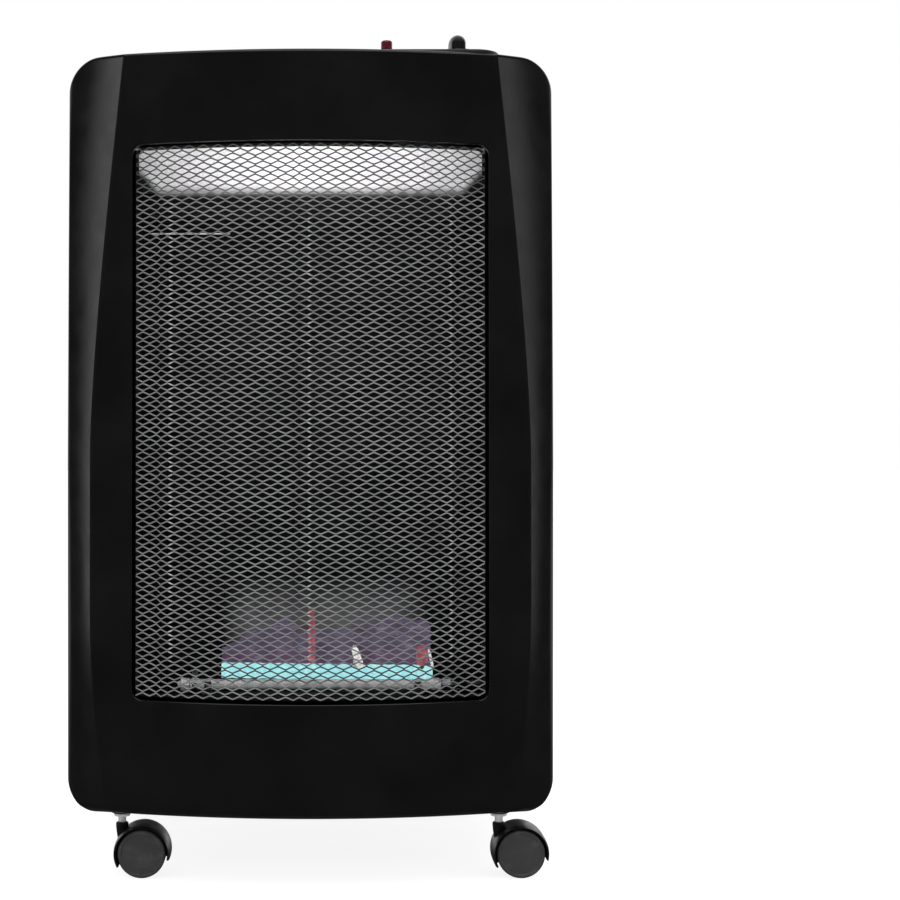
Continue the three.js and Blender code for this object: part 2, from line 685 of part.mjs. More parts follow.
/** The long burner box with its slotted crown. */
function burnerHead() {
  const foot = FLOOR_TOP + GAP;
  const profile = outline([[BURNER_Y - 12, foot + 2], [BURNER_Y - 9, BURNER_TOP],
    [BURNER_Y + 9, BURNER_TOP], [BURNER_Y + 12, foot + 2], [BURNER_Y + 12, foot],
    [BURNER_Y - 12, foot]]);
  const box = alongX(profile, -78, 106);
  const slots = [];
  for (let x = -72; x <= 100; x += 9.05) {
    slots.push(block(x - 1.4, x + 1.4, BURNER_Y - 6, BURNER_Y + 6, BURNER_TOP - 4, BURNER_TOP + 2));
  }
  const lip = block(-78, 106, BURNER_Y - 13, BURNER_Y + 13, foot, foot + 1.5);
  return part('burner_head', cut(join(box, lip), ...slots), sootedSteel);
}

/** A stirrup that holds the tube and stands on the chamber floor. */
function burnerBracket(name, x) {
  const foot = block(x - 5, x + 5, TUBE_Y - 9, TUBE_Y + 6, FLOOR_TOP + GAP, FLOOR_TOP + 1.8);
  const post = block(x - 3, x + 3, TUBE_Y - 6, TUBE_Y + 6, FLOOR_TOP + 1, TUBE_Z + 3);
  const bore = bar('x', 4.4 + GAP, x - 9, x + 9, [TUBE_Y, TUBE_Z], 12);
  const open = block(x - 9, x + 9, TUBE_Y - 3.6, TUBE_Y + 3.6, TUBE_Z, TUBE_Z + 9);
  return part(name, cut(join(foot, post), bore, open), brightSteel);
}

/** The six-sided injector nut at the tube's left end. */
function injectorNut() {
  const nut = join(bar('x', 5.8, -111.5, -103.8, [TUBE_Y, TUBE_Z], 6),
    bar('x', 3, -114, -111, [TUBE_Y, TUBE_Z], 8));
  return part('injector_nut', nut, brass);
}

/** The spring clamp round the tube. */
function tubeClamp() {
  const ring = cut(bar('x', 6.6, -101.5, -97, [TUBE_Y, TUBE_Z], 12),
    bar('x', 4.4 + GAP, -110, -90, [TUBE_Y, TUBE_Z], 12));
  const ears = cut(block(-101.5, -97, TUBE_Y - 2.4, TUBE_Y + 2.4, TUBE_Z + 5, TUBE_Z + 11),
    block(-110, -90, TUBE_Y - 0.6, TUBE_Y + 0.6, TUBE_Z + 7, TUBE_Z + 20));
  return part('tube_clamp', join(ring, ears), brightSteel);
}

/** The steel strip that stands in the flame and glows. */
function glowBar() {
  const strip = block(-1.7, 4.3, BURNER_Y - 0.8, BURNER_Y + 0.8, BURNER_TOP + GAP, 232);
  const foot = block(-5, 8, BURNER_Y - 5, BURNER_Y + 5, BURNER_TOP + GAP, BURNER_TOP + 1.6);
  return part('glow_bar', join(strip, foot), hotSteel);
}

/** The low plate before the burner that carries the probe and the electrode. */
function pilotBracket() {
  const z0 = FLOOR_TOP + GAP;
  const [x0, x1] = [26, 104];
  const front = TUBE_Y + 6.5;
  const plate = block(x0, x1, front, front + SHEET, z0, 171);
  const shelf = block(x0, x1, front, PROBE_Y + 3.6, 169.8, 171);
  const window = block(x0 + 22, x1 - 18, front - 5, PROBE_Y + 9, z0 + 3, 180);
  const bores = [bar('z', 2.6, 160, 190, [39, PROBE_Y]), bar('z', 2.4, 160, 190, [96.5, PROBE_Y])];
  return part('pilot_bracket', cut(join(plate, shelf), window, ...bores), brightSteel);
}

/** The flame probe and its copper lead, which runs up the right-hand side to the tap. */
function thermocouple() {
  const tip = turned([[0, 168], [2, 168], [2, 194], [1.2, 198], [0, 198]], 96.5, PROBE_Y, 8);
  const lead = pipe([[96.5, PROBE_Y, 169], [96.5, PROBE_Y, 166.6], [108, 57.6, 165.8],
    [122, 59.5, 165], [140, 64, 164], [150, 66, 163.6], [166, 66, 163.6], [190, 74, 172],
    [190, 74, 640], [186, CONTROL_Y, 662], [KNOB_X + 6, CONTROL_Y, 664],
    [KNOB_X + 6, CONTROL_Y, 678.7]], 1.4, 6, 5);
  return part('thermocouple', join(tip, lead), brass);
}

// ---------------------------------------------------------------- gas and ignition

/** The spark electrode: ceramic body, wire tip and the lead up to the igniter. */
function ignitionElectrode() {
  const body = turned([[0, 166], [2.2, 166], [2.2, 190], [1.6, 193], [0.9, 193], [0.9, 201],
    [0, 201]], 39, PROBE_Y, 8);
  const lead = pipe([[39, PROBE_Y, 167], [39, PROBE_Y, 164.4], [48, 60.9, 162.4],
    [118, 60.9, 162.4], [128, 66, 162.6], [140, 75, 163], [150, 76, 163.4], [166, 78, 163.6],
    [192, 92, 172], [192, 92, 640], [180, 92, 640], [80, 90, 640], [BUTTON_X, CONTROL_Y, 642],
    [BUTTON_X, CONTROL_Y, 653.7]], 1.4, 6, 5);
  return part('ignition_electrode', join(body, lead), ceramic);
}

/** The moulded plate on the top that surrounds the knob and the igniter. */
function controlPanel() {
  const { left, right, front, back, thick } = PANEL;
  const z0 = BODY_TOP + GAP;
  const low = alongZ(roundedRectangle(left, right, front, back, 22), z0, z0 + thick - 1, 3);
  const high = alongZ(roundedRectangle(left + 1, right - 1, front + 1, back - 1, 21),
    z0 + 1, z0 + thick, 3);
  const knobHole = bar('z', 8.4, z0 - 5, z0 + 9, [KNOB_X, CONTROL_Y], 16);
  const buttonHole = bar('z', 7.4, z0 - 5, z0 + 9, [BUTTON_X, CONTROL_Y], 12);
  return part('control_panel', cut(join(low, high), knobHole, buttonHole), satinBlack);
}

/** The gas tap under the top, with its threaded neck and its unions. */
function gasValve() {
  const body = join(
    block(KNOB_X - 13, KNOB_X + 13, CONTROL_Y - 15, CONTROL_Y + 15, 679, 700),
    bar('z', 12, 699, BODY_TOP - WALL - GAP, [KNOB_X, CONTROL_Y], 12),
    bar('z', 8, BODY_TOP - WALL - 3, BODY_TOP + 3, [KNOB_X, CONTROL_Y], 12),
    bar('y', 6, CONTROL_Y + 14, CONTROL_Y + 20, [KNOB_X, 690], 6),
    bar('z', 4.6, 676, 680, [KNOB_X - 6, CONTROL_Y], 6));
  const bore = bar('z', 3.3, 688, BODY_TOP + 9, [KNOB_X, CONTROL_Y], 12);
  return part('gas_valve', cut(body, bore), brass);
}

/** The igniter's body, with the neck that the button runs in. */
function piezoBody() {
  const body = turned([[5.5, 676], [5.5, 719], [7, 719], [7, 705.7], [10, 705.7], [10, 660],
    [8, 654], [0, 654], [0, 676], [5.5, 676]], BUTTON_X, CONTROL_Y, 12);
  return part('piezo_body', body, blackPlastic);
}

/** The pipe from the tap down the right-hand side to the mixing tube. */
function gasPipe() {
  const x = KNOB_X - 6;
  const y = TUBE_Y + 8;
  const run = pipe([[x, CONTROL_Y, 675.7], [x, CONTROL_Y, 654], [178, 84, 650], [178, 84, 200],
    [176, y, TUBE_Z], [134, y, TUBE_Z], [126, TUBE_Y, TUBE_Z], [112.4, TUBE_Y, TUBE_Z]], 3, 10);
  const union = bar('x', 5.6, 113, 120, [TUBE_Y, TUBE_Z], 6);
  return part('gas_pipe', join(run, union), brightSteel);
}

/** The pipe from the rear inlet up to the tap. */
function inletPipe() {
  const run = pipe([[KNOB_X, CONTROL_Y + 20.3, 690], [KNOB_X, 113.5, 690], [140, 113.5, 660],
    [150, 113.5, 640], [150, 113.5, 462], [150, BODY_REAR - 0.6, 462]], 3.4, 7);
  return part('inlet_pipe', run, brightSteel);
}

/** The ribbed brass tail that the cylinder's hose pushes onto. */
function hoseNozzle() {
  const y0 = BODY_REAR + GAP + PLATE + GAP;
  const profile = [[0, y0 - 2], [3.6, y0 - 2], [3.6, y0], [8, y0], [8, y0 + 5], [4, y0 + 5]];
  for (let i = 0; i < 3; i++) {
    const y = y0 + 9 + 5 * i;
    profile.push([4, y], [5.2, y + 0.6], [4, y + 4.4]);
  }
  profile.push([4, y0 + 25], [0, y0 + 25]);
  const points = profile.map(([r, h]) => new THREE.Vector2(r, h));
  const tail = solidOf(new THREE.LatheGeometry(points, 10).translate(150, 0, 462));
  return part('hose_nozzle', tail, brass);
}

/** The bar knob: a round skirt under a domed grip that lies front to back. */
function controlKnob() {
  const z0 = BODY_TOP + GAP + PANEL.thick + KNOB_TRAVEL + GAP;
  const top = 733;
  const skirt = turned([[0, z0], [18.6, z0], [18.6, z0 + 3.2], [17, z0 + 5], [0, z0 + 5]],
    KNOB_X, CONTROL_Y, 20);
  const half = 7.3;
  const reach = 17.5;
  const loops = [];
  for (let i = 0; i <= 10; i++) {
    const f = -1 + i / 5;
    const fall = 1 - Math.sqrt(1 - (0.96 * f) ** 2);
    const crown = top - 7 * fall;
    const width = half * (1 - 0.3 * fall);
    const arch = [0, 1, 2, 3, 4, 5, 6].map(k => {
      const angle = Math.PI * k / 6;
      const x = KNOB_X + width * Math.cos(angle);
      return [x, crown - width + width * Math.sin(angle)];
    });
    loops.push([...arch, [KNOB_X - width, z0 + 2], [KNOB_X + width, z0 + 2]]
      .map(([x, z]) => new THREE.Vector3(x, z, CONTROL_Y + f * reach)));
  }
  const grip = loft(loops).transform([
    1, 0, 0, 0, 0, 0, 1, 0, 0, 1, 0, 0, 0, 0, 0, 1]);
  const bore = bar('z', 3.3, z0 - 5, top - 4, [KNOB_X, CONTROL_Y], 12);
  return part('control_knob', cut(join(skirt, grip), bore), blackPlastic);
}

/** The tap's spindle, from inside the valve to inside the knob. */
function valveStem() {
  return part('valve_stem', bar('z', 3, 691, 728.4, [KNOB_X, CONTROL_Y], 12), brass);
}

/** The red igniter button. */
function igniterButton() {
  const button = turned([[0, 686], [4.4, 686], [4.4, 721], [5, 721.6], [5, 727.6], [4, 729],
    [0, 729]], BUTTON_X, CONTROL_Y, 14);
  return part('igniter_button', button, redPlastic);
}

// ---------------------------------------------------------------- folding rear

const circle = (y, z, radius) => new THREE.Shape().absarc(y, z, radius, 0, 2 * Math.PI);
const disc = (y, z, radius, x0, x1) => alongX(circle(y, z, radius), x0, x1, 7);

/** One of the two arms that the tray's hinge rod turns in. */
function hingeBracket(name, side) {
  const { hingeY: y, hingeZ: z } = TRAY;
  const face = BODY_REAR + GAP + 9.4 + GAP;
  const [x0, x1] = side > 0 ? [190, 193] : [-193, -190];
  const [f0, f1] = side > 0 ? [170, 193] : [-193, -170];
  const foot = block(f0, f1, face, face + 2, 60, 76);
  const arm = alongX(outline([[face, 60], [y, z - LUG_RADIUS], [y, z + LUG_RADIUS], [face, 76]]),
    x0, x1);
  const eye = disc(y, z, LUG_RADIUS, x0, x1);
  const bore = disc(y, z, HINGE_BORE, x0 - 5, x1 + 5);
  return part(name, cut(join(foot, arm, eye), bore), satinBlack);
}

/** The pressed tray: floor, three upstanding flanges, round hinge ears, drain slots. */
function baseTray() {
  const { halfWidth: half, depth, hingeY: y, hingeZ: z, length } = TRAY;
  const low = BODY_BOTTOM;
  const top = low + depth;
  const near = y - 7.6;
  const far = y + length;
  const floor = block(-half, half, near, far, low, low + PLATE);
  const side = outline([[near, low], [far, low], [far, top - 10], [far - 10, top],
    [y + 140, top], [y + 138, top - 4], [y + 132, top - 4], [y + 130, top], [y + 16, top],
    [y + 14, top - 2], [y + 6, top - 2], [y - 1, z + 9], [near, z + 4]]);
  const ear = disc(y, z, 9.6, -half, half).intersect(
    block(-half, half, y - 30, y + 30, low, top));
  const wide = join(alongX(side, -half, half), ear);
  const flanges = cut(wide, block(-half + PLATE, half - PLATE, near - 20, far - PLATE, low - 5,
    top + 5));
  const slots = [];
  for (const sy of [y + 70, y + 125, y + 180]) {
    for (const sx of [-100, 0, 100]) {
      slots.push(alongZ(roundedRectangle(sx - 26, sx + 26, sy - 4, sy + 4, 4), low - 5, low + 9, 1));
    }
  }
  const sockets = [-1, 1].map(s => bar('z', 6.8, low - 5, low + 5, [s * CASTER_X, REAR_CASTER_Y]));
  const rod = disc(y, z, HINGE_BORE, -half - 9, half + 9);
  const tray = cut(join(floor, flanges), ...slots, ...sockets, rod);
  return part('base_tray', tray, satinBlack);
}

/** The rod that the tray turns on, held in the tray's ears. */
function trayHingeRod() {
  const { halfWidth: half, hingeY: y, hingeZ: z } = TRAY;
  return part('tray_hinge_rod', disc(y, z, HINGE_ROD, -half - 2.5, half + 2.5), brightSteel);
}

/** The strip on the rear panel with the two lugs that the guard hangs from. */
function guardBracket() {
  const { hingeY: y, hingeZ: z } = HANGER;
  const face = BODY_REAR + GAP + PLATE + GAP;
  const strip = block(-178, 178, face, face + PLATE, z - 14, z + 8);
  const lugs = [-176, 173].map(x => join(
    alongX(outline([[face + 1, z - 12], [y, z - LUG_RADIUS], [y, z + LUG_RADIUS],
      [face + 1, z + LUG_RADIUS]]), x, x + 3),
    disc(y, z, LUG_RADIUS, x, x + 3)));
  const bore = disc(y, z, HINGE_BORE, -190, 190);
  return part('guard_bracket', cut(join(strip, ...lugs), bore), satinBlack);
}

/** The hanging guard about its own hinge: a shallow pan, open towards the cabinet. */
function rearGuard() {
  const { halfWidth: half, depth, length } = HANGER;
  const [front, rear] = [-depth / 2, depth / 2];
  const ear = disc(0, 0, 8, -half, half);
  const side = outline([[front, -length], [rear, -length], [rear, 5], [rear - 2, 7], [2, 7],
    [-7.6, -2], [front, -12]]);
  const pan = cut(join(alongX(side, -half, half), ear),
    block(-half + PLATE, half - PLATE, front - 5, rear - PLATE, -length + PLATE, 20));
  const slot = alongX(roundedRectangle(-4.5, -0.5, -56, -30, 2), -half - 5, half + 5, 1);
  const bore = disc(0, 0, HINGE_BORE, -half - 5, half + 5);
  return part('rear_guard', cut(pan, slot, bore), satinBlack);
}

/** The hanging guard's hinge rod, about its own axis. */
function guardHingeRod() {
  const reach = HANGER.halfWidth + 1.6;
  return part('guard_hinge_rod', disc(0, 0, HINGE_ROD, -reach, reach), brightSteel);
}

// ---------------------------------------------------------------- casters

/** The blind socket that a caster's pin turns in. */
function casterSocket(name, x, y) {
  const socket = turned([[0, 71], [0, 73], [6.5, 73], [6.5, BODY_BOTTOM - GAP],
    [10, BODY_BOTTOM - GAP], [10, BODY_BOTTOM - 3], [3.8, BODY_BOTTOM - 3], [3.8, 71], [0, 71]],
  x, y, 12);
  return part(name, socket, blackPlastic);
}

/** A caster about the foot of its pin: pin, hood, axle and two wheels. */
function caster(place, x, y) {
  const group = new THREE.Group();
  group.position.set(x, y, 0);
  const { radius, trail, inner, outer, bore, sides } = WHEEL;
  const pin = turned([[0, 46], [3.5, 46], [3.5, 51.3], [7, 51.3], [7, 53.6], [3.5, 53.6],
    [3.5, 68], [0, 68]], 0, 0, 10);
  group.add(part(`caster_pin_${place}`, pin, brightSteel));
  group.add(part(`caster_hood_${place}`, casterHood(), blackPlastic));
  const axle = bar('y', 3, -outer + 0.6, outer - 0.6, [trail, radius], 10);
  group.add(part(`caster_axle_${place}`, axle, brightSteel));
  for (const [word, side] of [['outer', -1], ['inner', 1]]) {
    const rim = radius / Math.cos(Math.PI / sides);
    const profile = [[bore, inner], [rim, inner], [rim, outer - 1.6], [rim - 1.8, outer],
      [rim - 3.6, outer], [rim - 4.6, outer - 1.3], [bore, outer - 1.3], [bore, inner]];
    const points = profile.map(([r, h]) => new THREE.Vector2(r, side * h));
    const wheel = new THREE.LatheGeometry(points, sides).rotateY(Math.PI / sides);
    group.add(part(`caster_wheel_${word}_${place}`, solidOf(wheel.translate(trail, 0, radius)),
      greyPlastic));
  }
  return group;
}

/** The hood: a web between the wheels, a rim over them, and a boss for the pin. */
function casterHood() {
  const { trail, radius } = WHEEL;
  const { outer, inner, half, web } = HOOD;
  const [start, end] = [-12, 208].map(angle => angle * Math.PI / 180);
  const rim = new THREE.Shape();
  rim.absarc(trail, radius, outer, start, end, false);
  rim.absarc(trail, radius, inner, end, start, true);
  const plate = new THREE.Shape();
  plate.absarc(trail, radius, inner + 1, start, end, false);
  plate.absarc(trail, radius, 7, 1.15 * Math.PI, 1.9 * Math.PI, false);
  const boss = bar('z', 5.5, 26, 45.6, [0, 0], 12);
  const room = [[-half - 9, -web], [web, half + 9]].map(([y0, y1]) =>
    bar('y', inner, y0, y1, [trail, radius], 16));
  const bore = bar('y', 3.4, -9, 9, [trail, radius], 12);
  const hood = join(alongY(rim, -half, half, 6), alongY(plate, -web, web, 6), cut(boss, ...room));
  return cut(hood, bore);
}

// ---------------------------------------------------------------- assembly

const hollow = hollowCabinet();
const heater = new THREE.Group();
heater.add(
  frontFascia(hollow), cabinetShell(hollow), rearFrame(), rearPanel(), meshGuard(),
  bulkhead(), chamberSide('chamber_side_left', -1), chamberSide('chamber_side_right', 1),
  chamberFloor(), heatDeflector(), burnerTube(), burnerHead(),
  burnerBracket('burner_bracket_left', -88), burnerBracket('burner_bracket_right', 92),
  injectorNut(), tubeClamp(), glowBar(), pilotBracket(), thermocouple(), ignitionElectrode(),
  controlPanel(), gasValve(), piezoBody(), gasPipe(), inletPipe(), hoseNozzle(),
  controlKnob(), valveStem(), igniterButton(),
  hingeBracket('hinge_bracket_left', -1), hingeBracket('hinge_bracket_right', 1),
  baseTray(), trayHingeRod(), guardBracket(),
);

const hanger = new THREE.Group();
hanger.position.set(0, HANGER.hingeY, HANGER.hingeZ);
hanger.rotation.x = HANGER.lean * Math.PI / 180;
hanger.add(rearGuard(), guardHingeRod());
heater.add(hanger);

for (const [end, y] of [['front', FRONT_CASTER_Y], ['rear', REAR_CASTER_Y]]) {
  for (const [hand, side] of [['left', -1], ['right', 1]]) {
    heater.add(casterSocket(`caster_socket_${end}_${hand}`, side * CASTER_X, y));
    heater.add(caster(`${end}_${hand}`, side * CASTER_X, y));
  }
}

// The origin is under the middle of the whole heater, from the ribs to the tray's far edge.
const object = new THREE.Group();
heater.position.y = -MIDDLE_Y;
object.add(heater);

export default object;
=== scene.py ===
import json
import math

import bmesh
import bpy
import numpy as np
from bpy.props import FloatProperty, FloatVectorProperty, PointerProperty
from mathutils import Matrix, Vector


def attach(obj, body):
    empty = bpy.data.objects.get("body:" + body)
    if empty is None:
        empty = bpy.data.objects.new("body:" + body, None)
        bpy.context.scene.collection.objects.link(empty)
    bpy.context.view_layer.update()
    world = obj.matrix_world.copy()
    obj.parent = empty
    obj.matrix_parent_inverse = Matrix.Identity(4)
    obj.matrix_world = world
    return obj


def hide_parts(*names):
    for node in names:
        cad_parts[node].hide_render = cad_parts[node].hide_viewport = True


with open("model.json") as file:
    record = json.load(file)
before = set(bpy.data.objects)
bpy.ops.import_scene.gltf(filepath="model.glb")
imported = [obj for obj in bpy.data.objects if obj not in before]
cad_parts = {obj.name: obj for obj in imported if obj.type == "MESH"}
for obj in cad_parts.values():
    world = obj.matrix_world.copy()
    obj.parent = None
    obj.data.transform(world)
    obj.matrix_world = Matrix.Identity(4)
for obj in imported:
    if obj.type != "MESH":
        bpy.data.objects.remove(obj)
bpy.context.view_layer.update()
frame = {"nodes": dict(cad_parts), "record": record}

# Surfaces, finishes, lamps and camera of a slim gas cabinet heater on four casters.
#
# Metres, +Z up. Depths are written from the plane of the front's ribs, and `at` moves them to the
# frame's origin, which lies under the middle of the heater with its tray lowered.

bl_info = {
    "name": "Gas cabinet heater",
    "version": (1, 0, 0),
    "blender": (4, 5, 0),
    "location": "3D View > Sidebar > Heater",
    "description": "Builds the heater's surfaces, finishes and stage round its frame",
    "category": "Object",
}

MIDDLE = 0.1898
PLACES = ("front_left", "front_right", "rear_left", "rear_right")

# Cabinet
HALF_WIDTH = 0.210
BOTTOM, TOP = 0.057, 0.708
REAR = 0.122
TOP_CORNER, BOTTOM_CORNER = 0.029, 0.031
TOP_EDGE = 0.003
ROLL_HEIGHT, ROLL_DEPTH = 0.010, 0.034
# The front goes round to the rear below SKIRT, and its side is swept back below SWEPT
SKIRT, SWEPT = 0.068, 0.110
SHEET = 0.002
SEAM = 0.00015

# Window
EDGE = 0.152
SILL, HEAD = 0.158, 0.631
CORNER = 0.009
LIP_ROUND = 0.0016
LIP_DEPTH = 0.009
# The line where the face begins to turn into the lip
BORDER, BORDER_ROUND = EDGE + LIP_ROUND, CORNER + LIP_ROUND
BORDER_LOW, BORDER_HIGH = SILL - LIP_ROUND, HEAD + LIP_ROUND

# Guard
GUARD_HALF = 0.1494
GUARD_LOW, GUARD_HIGH = 0.1608, 0.6284
RIDGES = (-0.1183, -0.0010, 0.1188)

# Controls
CONTROL_Y = 0.084
KNOB_X = 0.1287
BUTTON_X = 0.0669

# Burner: the mixing tube's axis, and the middle of the ports
TUBE_Y, TUBE_Z = 0.048, 0.1687
FLAME_X = 0.014

# Casters: the swivels, and how far out and how high each axle lies
CASTER_X = 0.164
FRONT_Y, REAR_Y = 0.070, 0.362
AXLE_OUT, AXLE_HEIGHT = 0.018, 0.0208

# Stage: the level of the dim room that mirrors see in front of the heater, the picture's side and
# the size of a pixel on the plane PLANE_Y, the column of the heater's middle, and how many pixels
# the floor lies below the picture's middle
DIM = 0.04
PICTURE, PIXEL = 900, 0.000866
PLANE_Y = 0.060
MIDDLE_COLUMN, FLOOR_DROP = 310.5, 427

# Inputs of a Map Range node
RANGE = ("From Min", "From Max", "To Min", "To Max")


# ---------------------------------------------------------------- sizes and colours

def length(name, description, default):
    return FloatProperty(name=name, description=description, default=default, min=0.0,
                         subtype="DISTANCE", unit="LENGTH", precision=5)


def share(name, description, default, top=1.0):
    return FloatProperty(name=name, description=description, default=default, min=0.0, max=top)


def colour(name, description, default):
    return FloatVectorProperty(name=name, description=description, default=default, size=3,
                               subtype="COLOR", min=0.0, max=1.0)


class CabinetSettings(bpy.types.PropertyGroup):
    """Enamelled cabinet"""
    enamel: colour("Enamel", "Colour of the glossy enamel", (0.0036, 0.0036, 0.0039))
    gloss: share("Enamel roughness", "Roughness of the glossy enamel", 0.17)
    powder: colour("Powder coat", "Colour of the satin sheet parts", (0.012, 0.012, 0.013))


class GuardSettings(bpy.types.PropertyGroup):
    """Expanded-metal guard"""
    long_pitch: length("Long pitch", "Width of one diamond", 0.0128)
    short_pitch: length("Short pitch", "Height of one diamond", 0.0073)
    strand: length("Strand width", "Width of a strand before it is tilted", 0.00106)
    gauge: length("Gauge", "Thickness of the sheet", 0.0008)
    tilt: FloatProperty(name="Strand tilt", description="How far a strand leans from the sheet",
                        default=math.radians(34), subtype="ANGLE", unit="ROTATION")
    rib: length("Rib height", "How far the pressed ribs stand forward", 0.004)
    steel: colour("Guard steel", "Colour of the plated guard", (0.29, 0.29, 0.295))


class BurnerSettings(bpy.types.PropertyGroup):
    """Burner and flame"""
    flame: colour("Flame", "Colour of the flame's body", (0.086, 0.068, 0.112))
    root: colour("Flame root", "Colour of the band just above the ports", (0.38, 0.86, 0.90))
    light: FloatProperty(name="Flame light", description="Power of the flame's light, in watts",
                         default=0.20, min=0.0)
    glow: colour("Glowing steel", "Colour of the strip in the flame", (0.52, 0.110, 0.155))


class ControlSettings(bpy.types.PropertyGroup):
    """Knob and igniter"""
    plastic: colour("Black plastic", "Colour of the knob and the hoods", (0.0070, 0.0070, 0.0076))
    button: colour("Igniter", "Colour of the igniter button", (0.115, 0.006, 0.018))


class CasterSettings(bpy.types.PropertyGroup):
    """Casters"""
    wheel: colour("Wheel", "Colour of the wheels", (0.050, 0.050, 0.052))
    zinc: colour("Zinc plate", "Colour of the pins and rods", (0.62, 0.63, 0.65))


class StageSettings(bpy.types.PropertyGroup):
    """Lamps, backdrop and camera"""
    side: FloatProperty(name="Side panels", description="Power of each side panel, in watts",
                        default=4.7, min=0.0)
    overhead: FloatProperty(name="Overhead panel", description="Power of the panel above",
                            default=20.0, min=0.0)
    fill: share("Fill", "Strength of the plain light all round", 0.85, 4.0)
    eye: length("Eye height", "Height of the camera above the floor", 0.392)
    reach: length("Camera distance", "From the camera to the plane of the front", 1.60)


# ---------------------------------------------------------------- meshes

def at(x, y, z):
    """Stacks three coordinates into points, with the depth moved to the frame's origin."""
    x, y, z = np.broadcast_arrays(x, y, z)
    return np.stack([x, y - MIDDLE, z], -1).astype(float)


def grid(points, around=False, along=False, keep=None):
    """Points and four-cornered cells of a grid: cell (i, j) joins rows i, i+1 and columns j, j+1.
    `around` joins the last column to the first, `along` the last row to the first."""
    rows, columns = points.shape[:2]
    i, j = np.meshgrid(np.arange(rows if along else rows - 1),
                       np.arange(columns if around else columns - 1), indexing="ij")
    if keep is not None:
        i, j = i[keep], j[keep]
    k, m = (i + 1) % rows, (j + 1) % columns
    cells = np.stack([i * columns + j, i * columns + m, k * columns + m, k * columns + j], -1)
    return points.reshape(-1, 3), cells.reshape(-1, 4)


def added(name, data):
    """A new object for some data, in the scene and at its origin."""
    obj = bpy.data.objects.new(name, data)
    bpy.context.scene.collection.objects.link(obj)
    return obj


def piece(name, patches, body, look, replaces=(), sharp=32.0, inside=None, wall=0.0):
    """One object from patches that share their borders, welded, smooth but for sharp edges, in
    the finish that its look names.
    Closed forms get their normals recalculated. An open skin faces away from the point `inside`,
    and gets a wall on its inner side."""
    points = np.concatenate([p for p, _ in patches])
    starts = np.cumsum([0] + [len(p) for p, _ in patches[:-1]])
    cells = np.concatenate([c + s for (_, c), s in zip(patches, starts)])
    mesh = bpy.data.meshes.new(name)
    mesh.vertices.add(len(points))
    mesh.vertices.foreach_set("co", points.astype(np.float32).ravel())
    mesh.loops.add(cells.size)
    mesh.loops.foreach_set("vertex_index", cells.astype(np.int32).ravel())
    mesh.polygons.add(len(cells))
    mesh.polygons.foreach_set("loop_start", np.arange(0, cells.size, 4, dtype=np.int32))
    mesh.update(calc_edges=True)
    form = bmesh.new()
    form.from_mesh(mesh)
    bmesh.ops.remove_doubles(form, verts=form.verts, dist=2e-6)
    bmesh.ops.dissolve_degenerate(form, dist=1e-7, edges=form.edges)
    bmesh.ops.recalc_face_normals(form, faces=form.faces)
    if inside is not None:
        core = Vector(at(*inside))
        facing = sum((f.calc_center_median() - core).dot(f.normal) * f.calc_area()
                     for f in form.faces)
        if facing < 0:
            bmesh.ops.reverse_faces(form, faces=form.faces)
    form.to_mesh(mesh)
    form.free()
    mesh.shade_smooth()
    mesh.set_sharp_from_angle(angle=math.radians(sharp))
    obj = added(name, mesh)
    mesh.materials.append(finish(look))
    if wall:
        solid = obj.modifiers.new("wall", "SOLIDIFY")
        solid.thickness = wall
        solid.offset = -1.0
    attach(obj, body)
    if replaces:
        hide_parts(*replaces)


def mirrored(half):
    """A profile and its mirror image at height 0, in reverse."""
    return half + [(r, -h) for r, h in reversed(half)]


def turned(profile, centre, axis="z", sides=40, closed=False):
    """A profile of (radius, height) turned about an axis: radius times the cosine and the sine
    of the angle across it, and the height along it."""
    r, h = (np.array(column, float)[:, None] for column in zip(*profile))
    angle = np.linspace(0, 2 * np.pi, sides, endpoint=False)[None, :]
    u, v, w = r * np.cos(angle), r * np.sin(angle), h + 0 * angle
    x, y, z = centre
    across = {"z": (x + u, y + v, z + w), "y": (x + v, y + w, z + u), "x": (x + w, y + u, z + v)}
    return grid(at(*across[axis]), around=True, along=closed)


def rounded_loop(half_a, half_b, r, arc, straight):
    """Points and outward normals of a rectangle with round corners, anticlockwise: four straight
    sides, each followed by a quarter circle."""
    a, b = half_a - r, half_b - r
    turn = np.linspace(0, np.pi / 2, arc + 1)
    run = np.linspace(-1, 1, straight + 1)[1:-1]
    sides = [((run * 0 + half_a, run * b), 0), ((-run * a, run * 0 + half_b), 1),
             ((run * 0 - half_a, -run * b), 2), ((run * a, run * 0 - half_b), 3)]
    corners = [(a, b), (-a, b), (-a, -b), (a, -b)]
    points, normals = [], []
    for (line, quarter), (ca, cb) in zip(sides, corners):
        start = quarter * np.pi / 2
        facing = np.array([math.cos(start), math.sin(start)])
        points.append(np.stack(line, -1))
        normals.append(np.tile(facing, (len(run), 1)))
        round_ = np.stack([np.cos(start + turn), np.sin(start + turn)], -1)
        points.append(np.array([ca, cb]) + r * round_)
        normals.append(round_)
    return np.concatenate(points), np.concatenate(normals)


def pointed(rings):
    """A tube of closed rings, with each end drawn in to a point at its ring's middle."""
    caps = [np.repeat(rings[i].mean(0)[None, None, :], rings.shape[1], 1) for i in (0, -1)]
    return grid(np.concatenate([caps[0], rings, caps[1]]), around=True)


def swept_arc(section, centre, start, end, steps):
    """A closed section of (radius, depth) carried round part of a circle about the y axis."""
    r, y = (np.array(column, float) for column in zip(*section))
    angle = np.radians(np.linspace(start, end, steps))[:, None]
    x0, y0, z0 = centre
    return pointed(at(x0 + r * np.cos(angle), y0 + y + 0 * angle, z0 + r * np.sin(angle)))


# ---------------------------------------------------------------- finishes

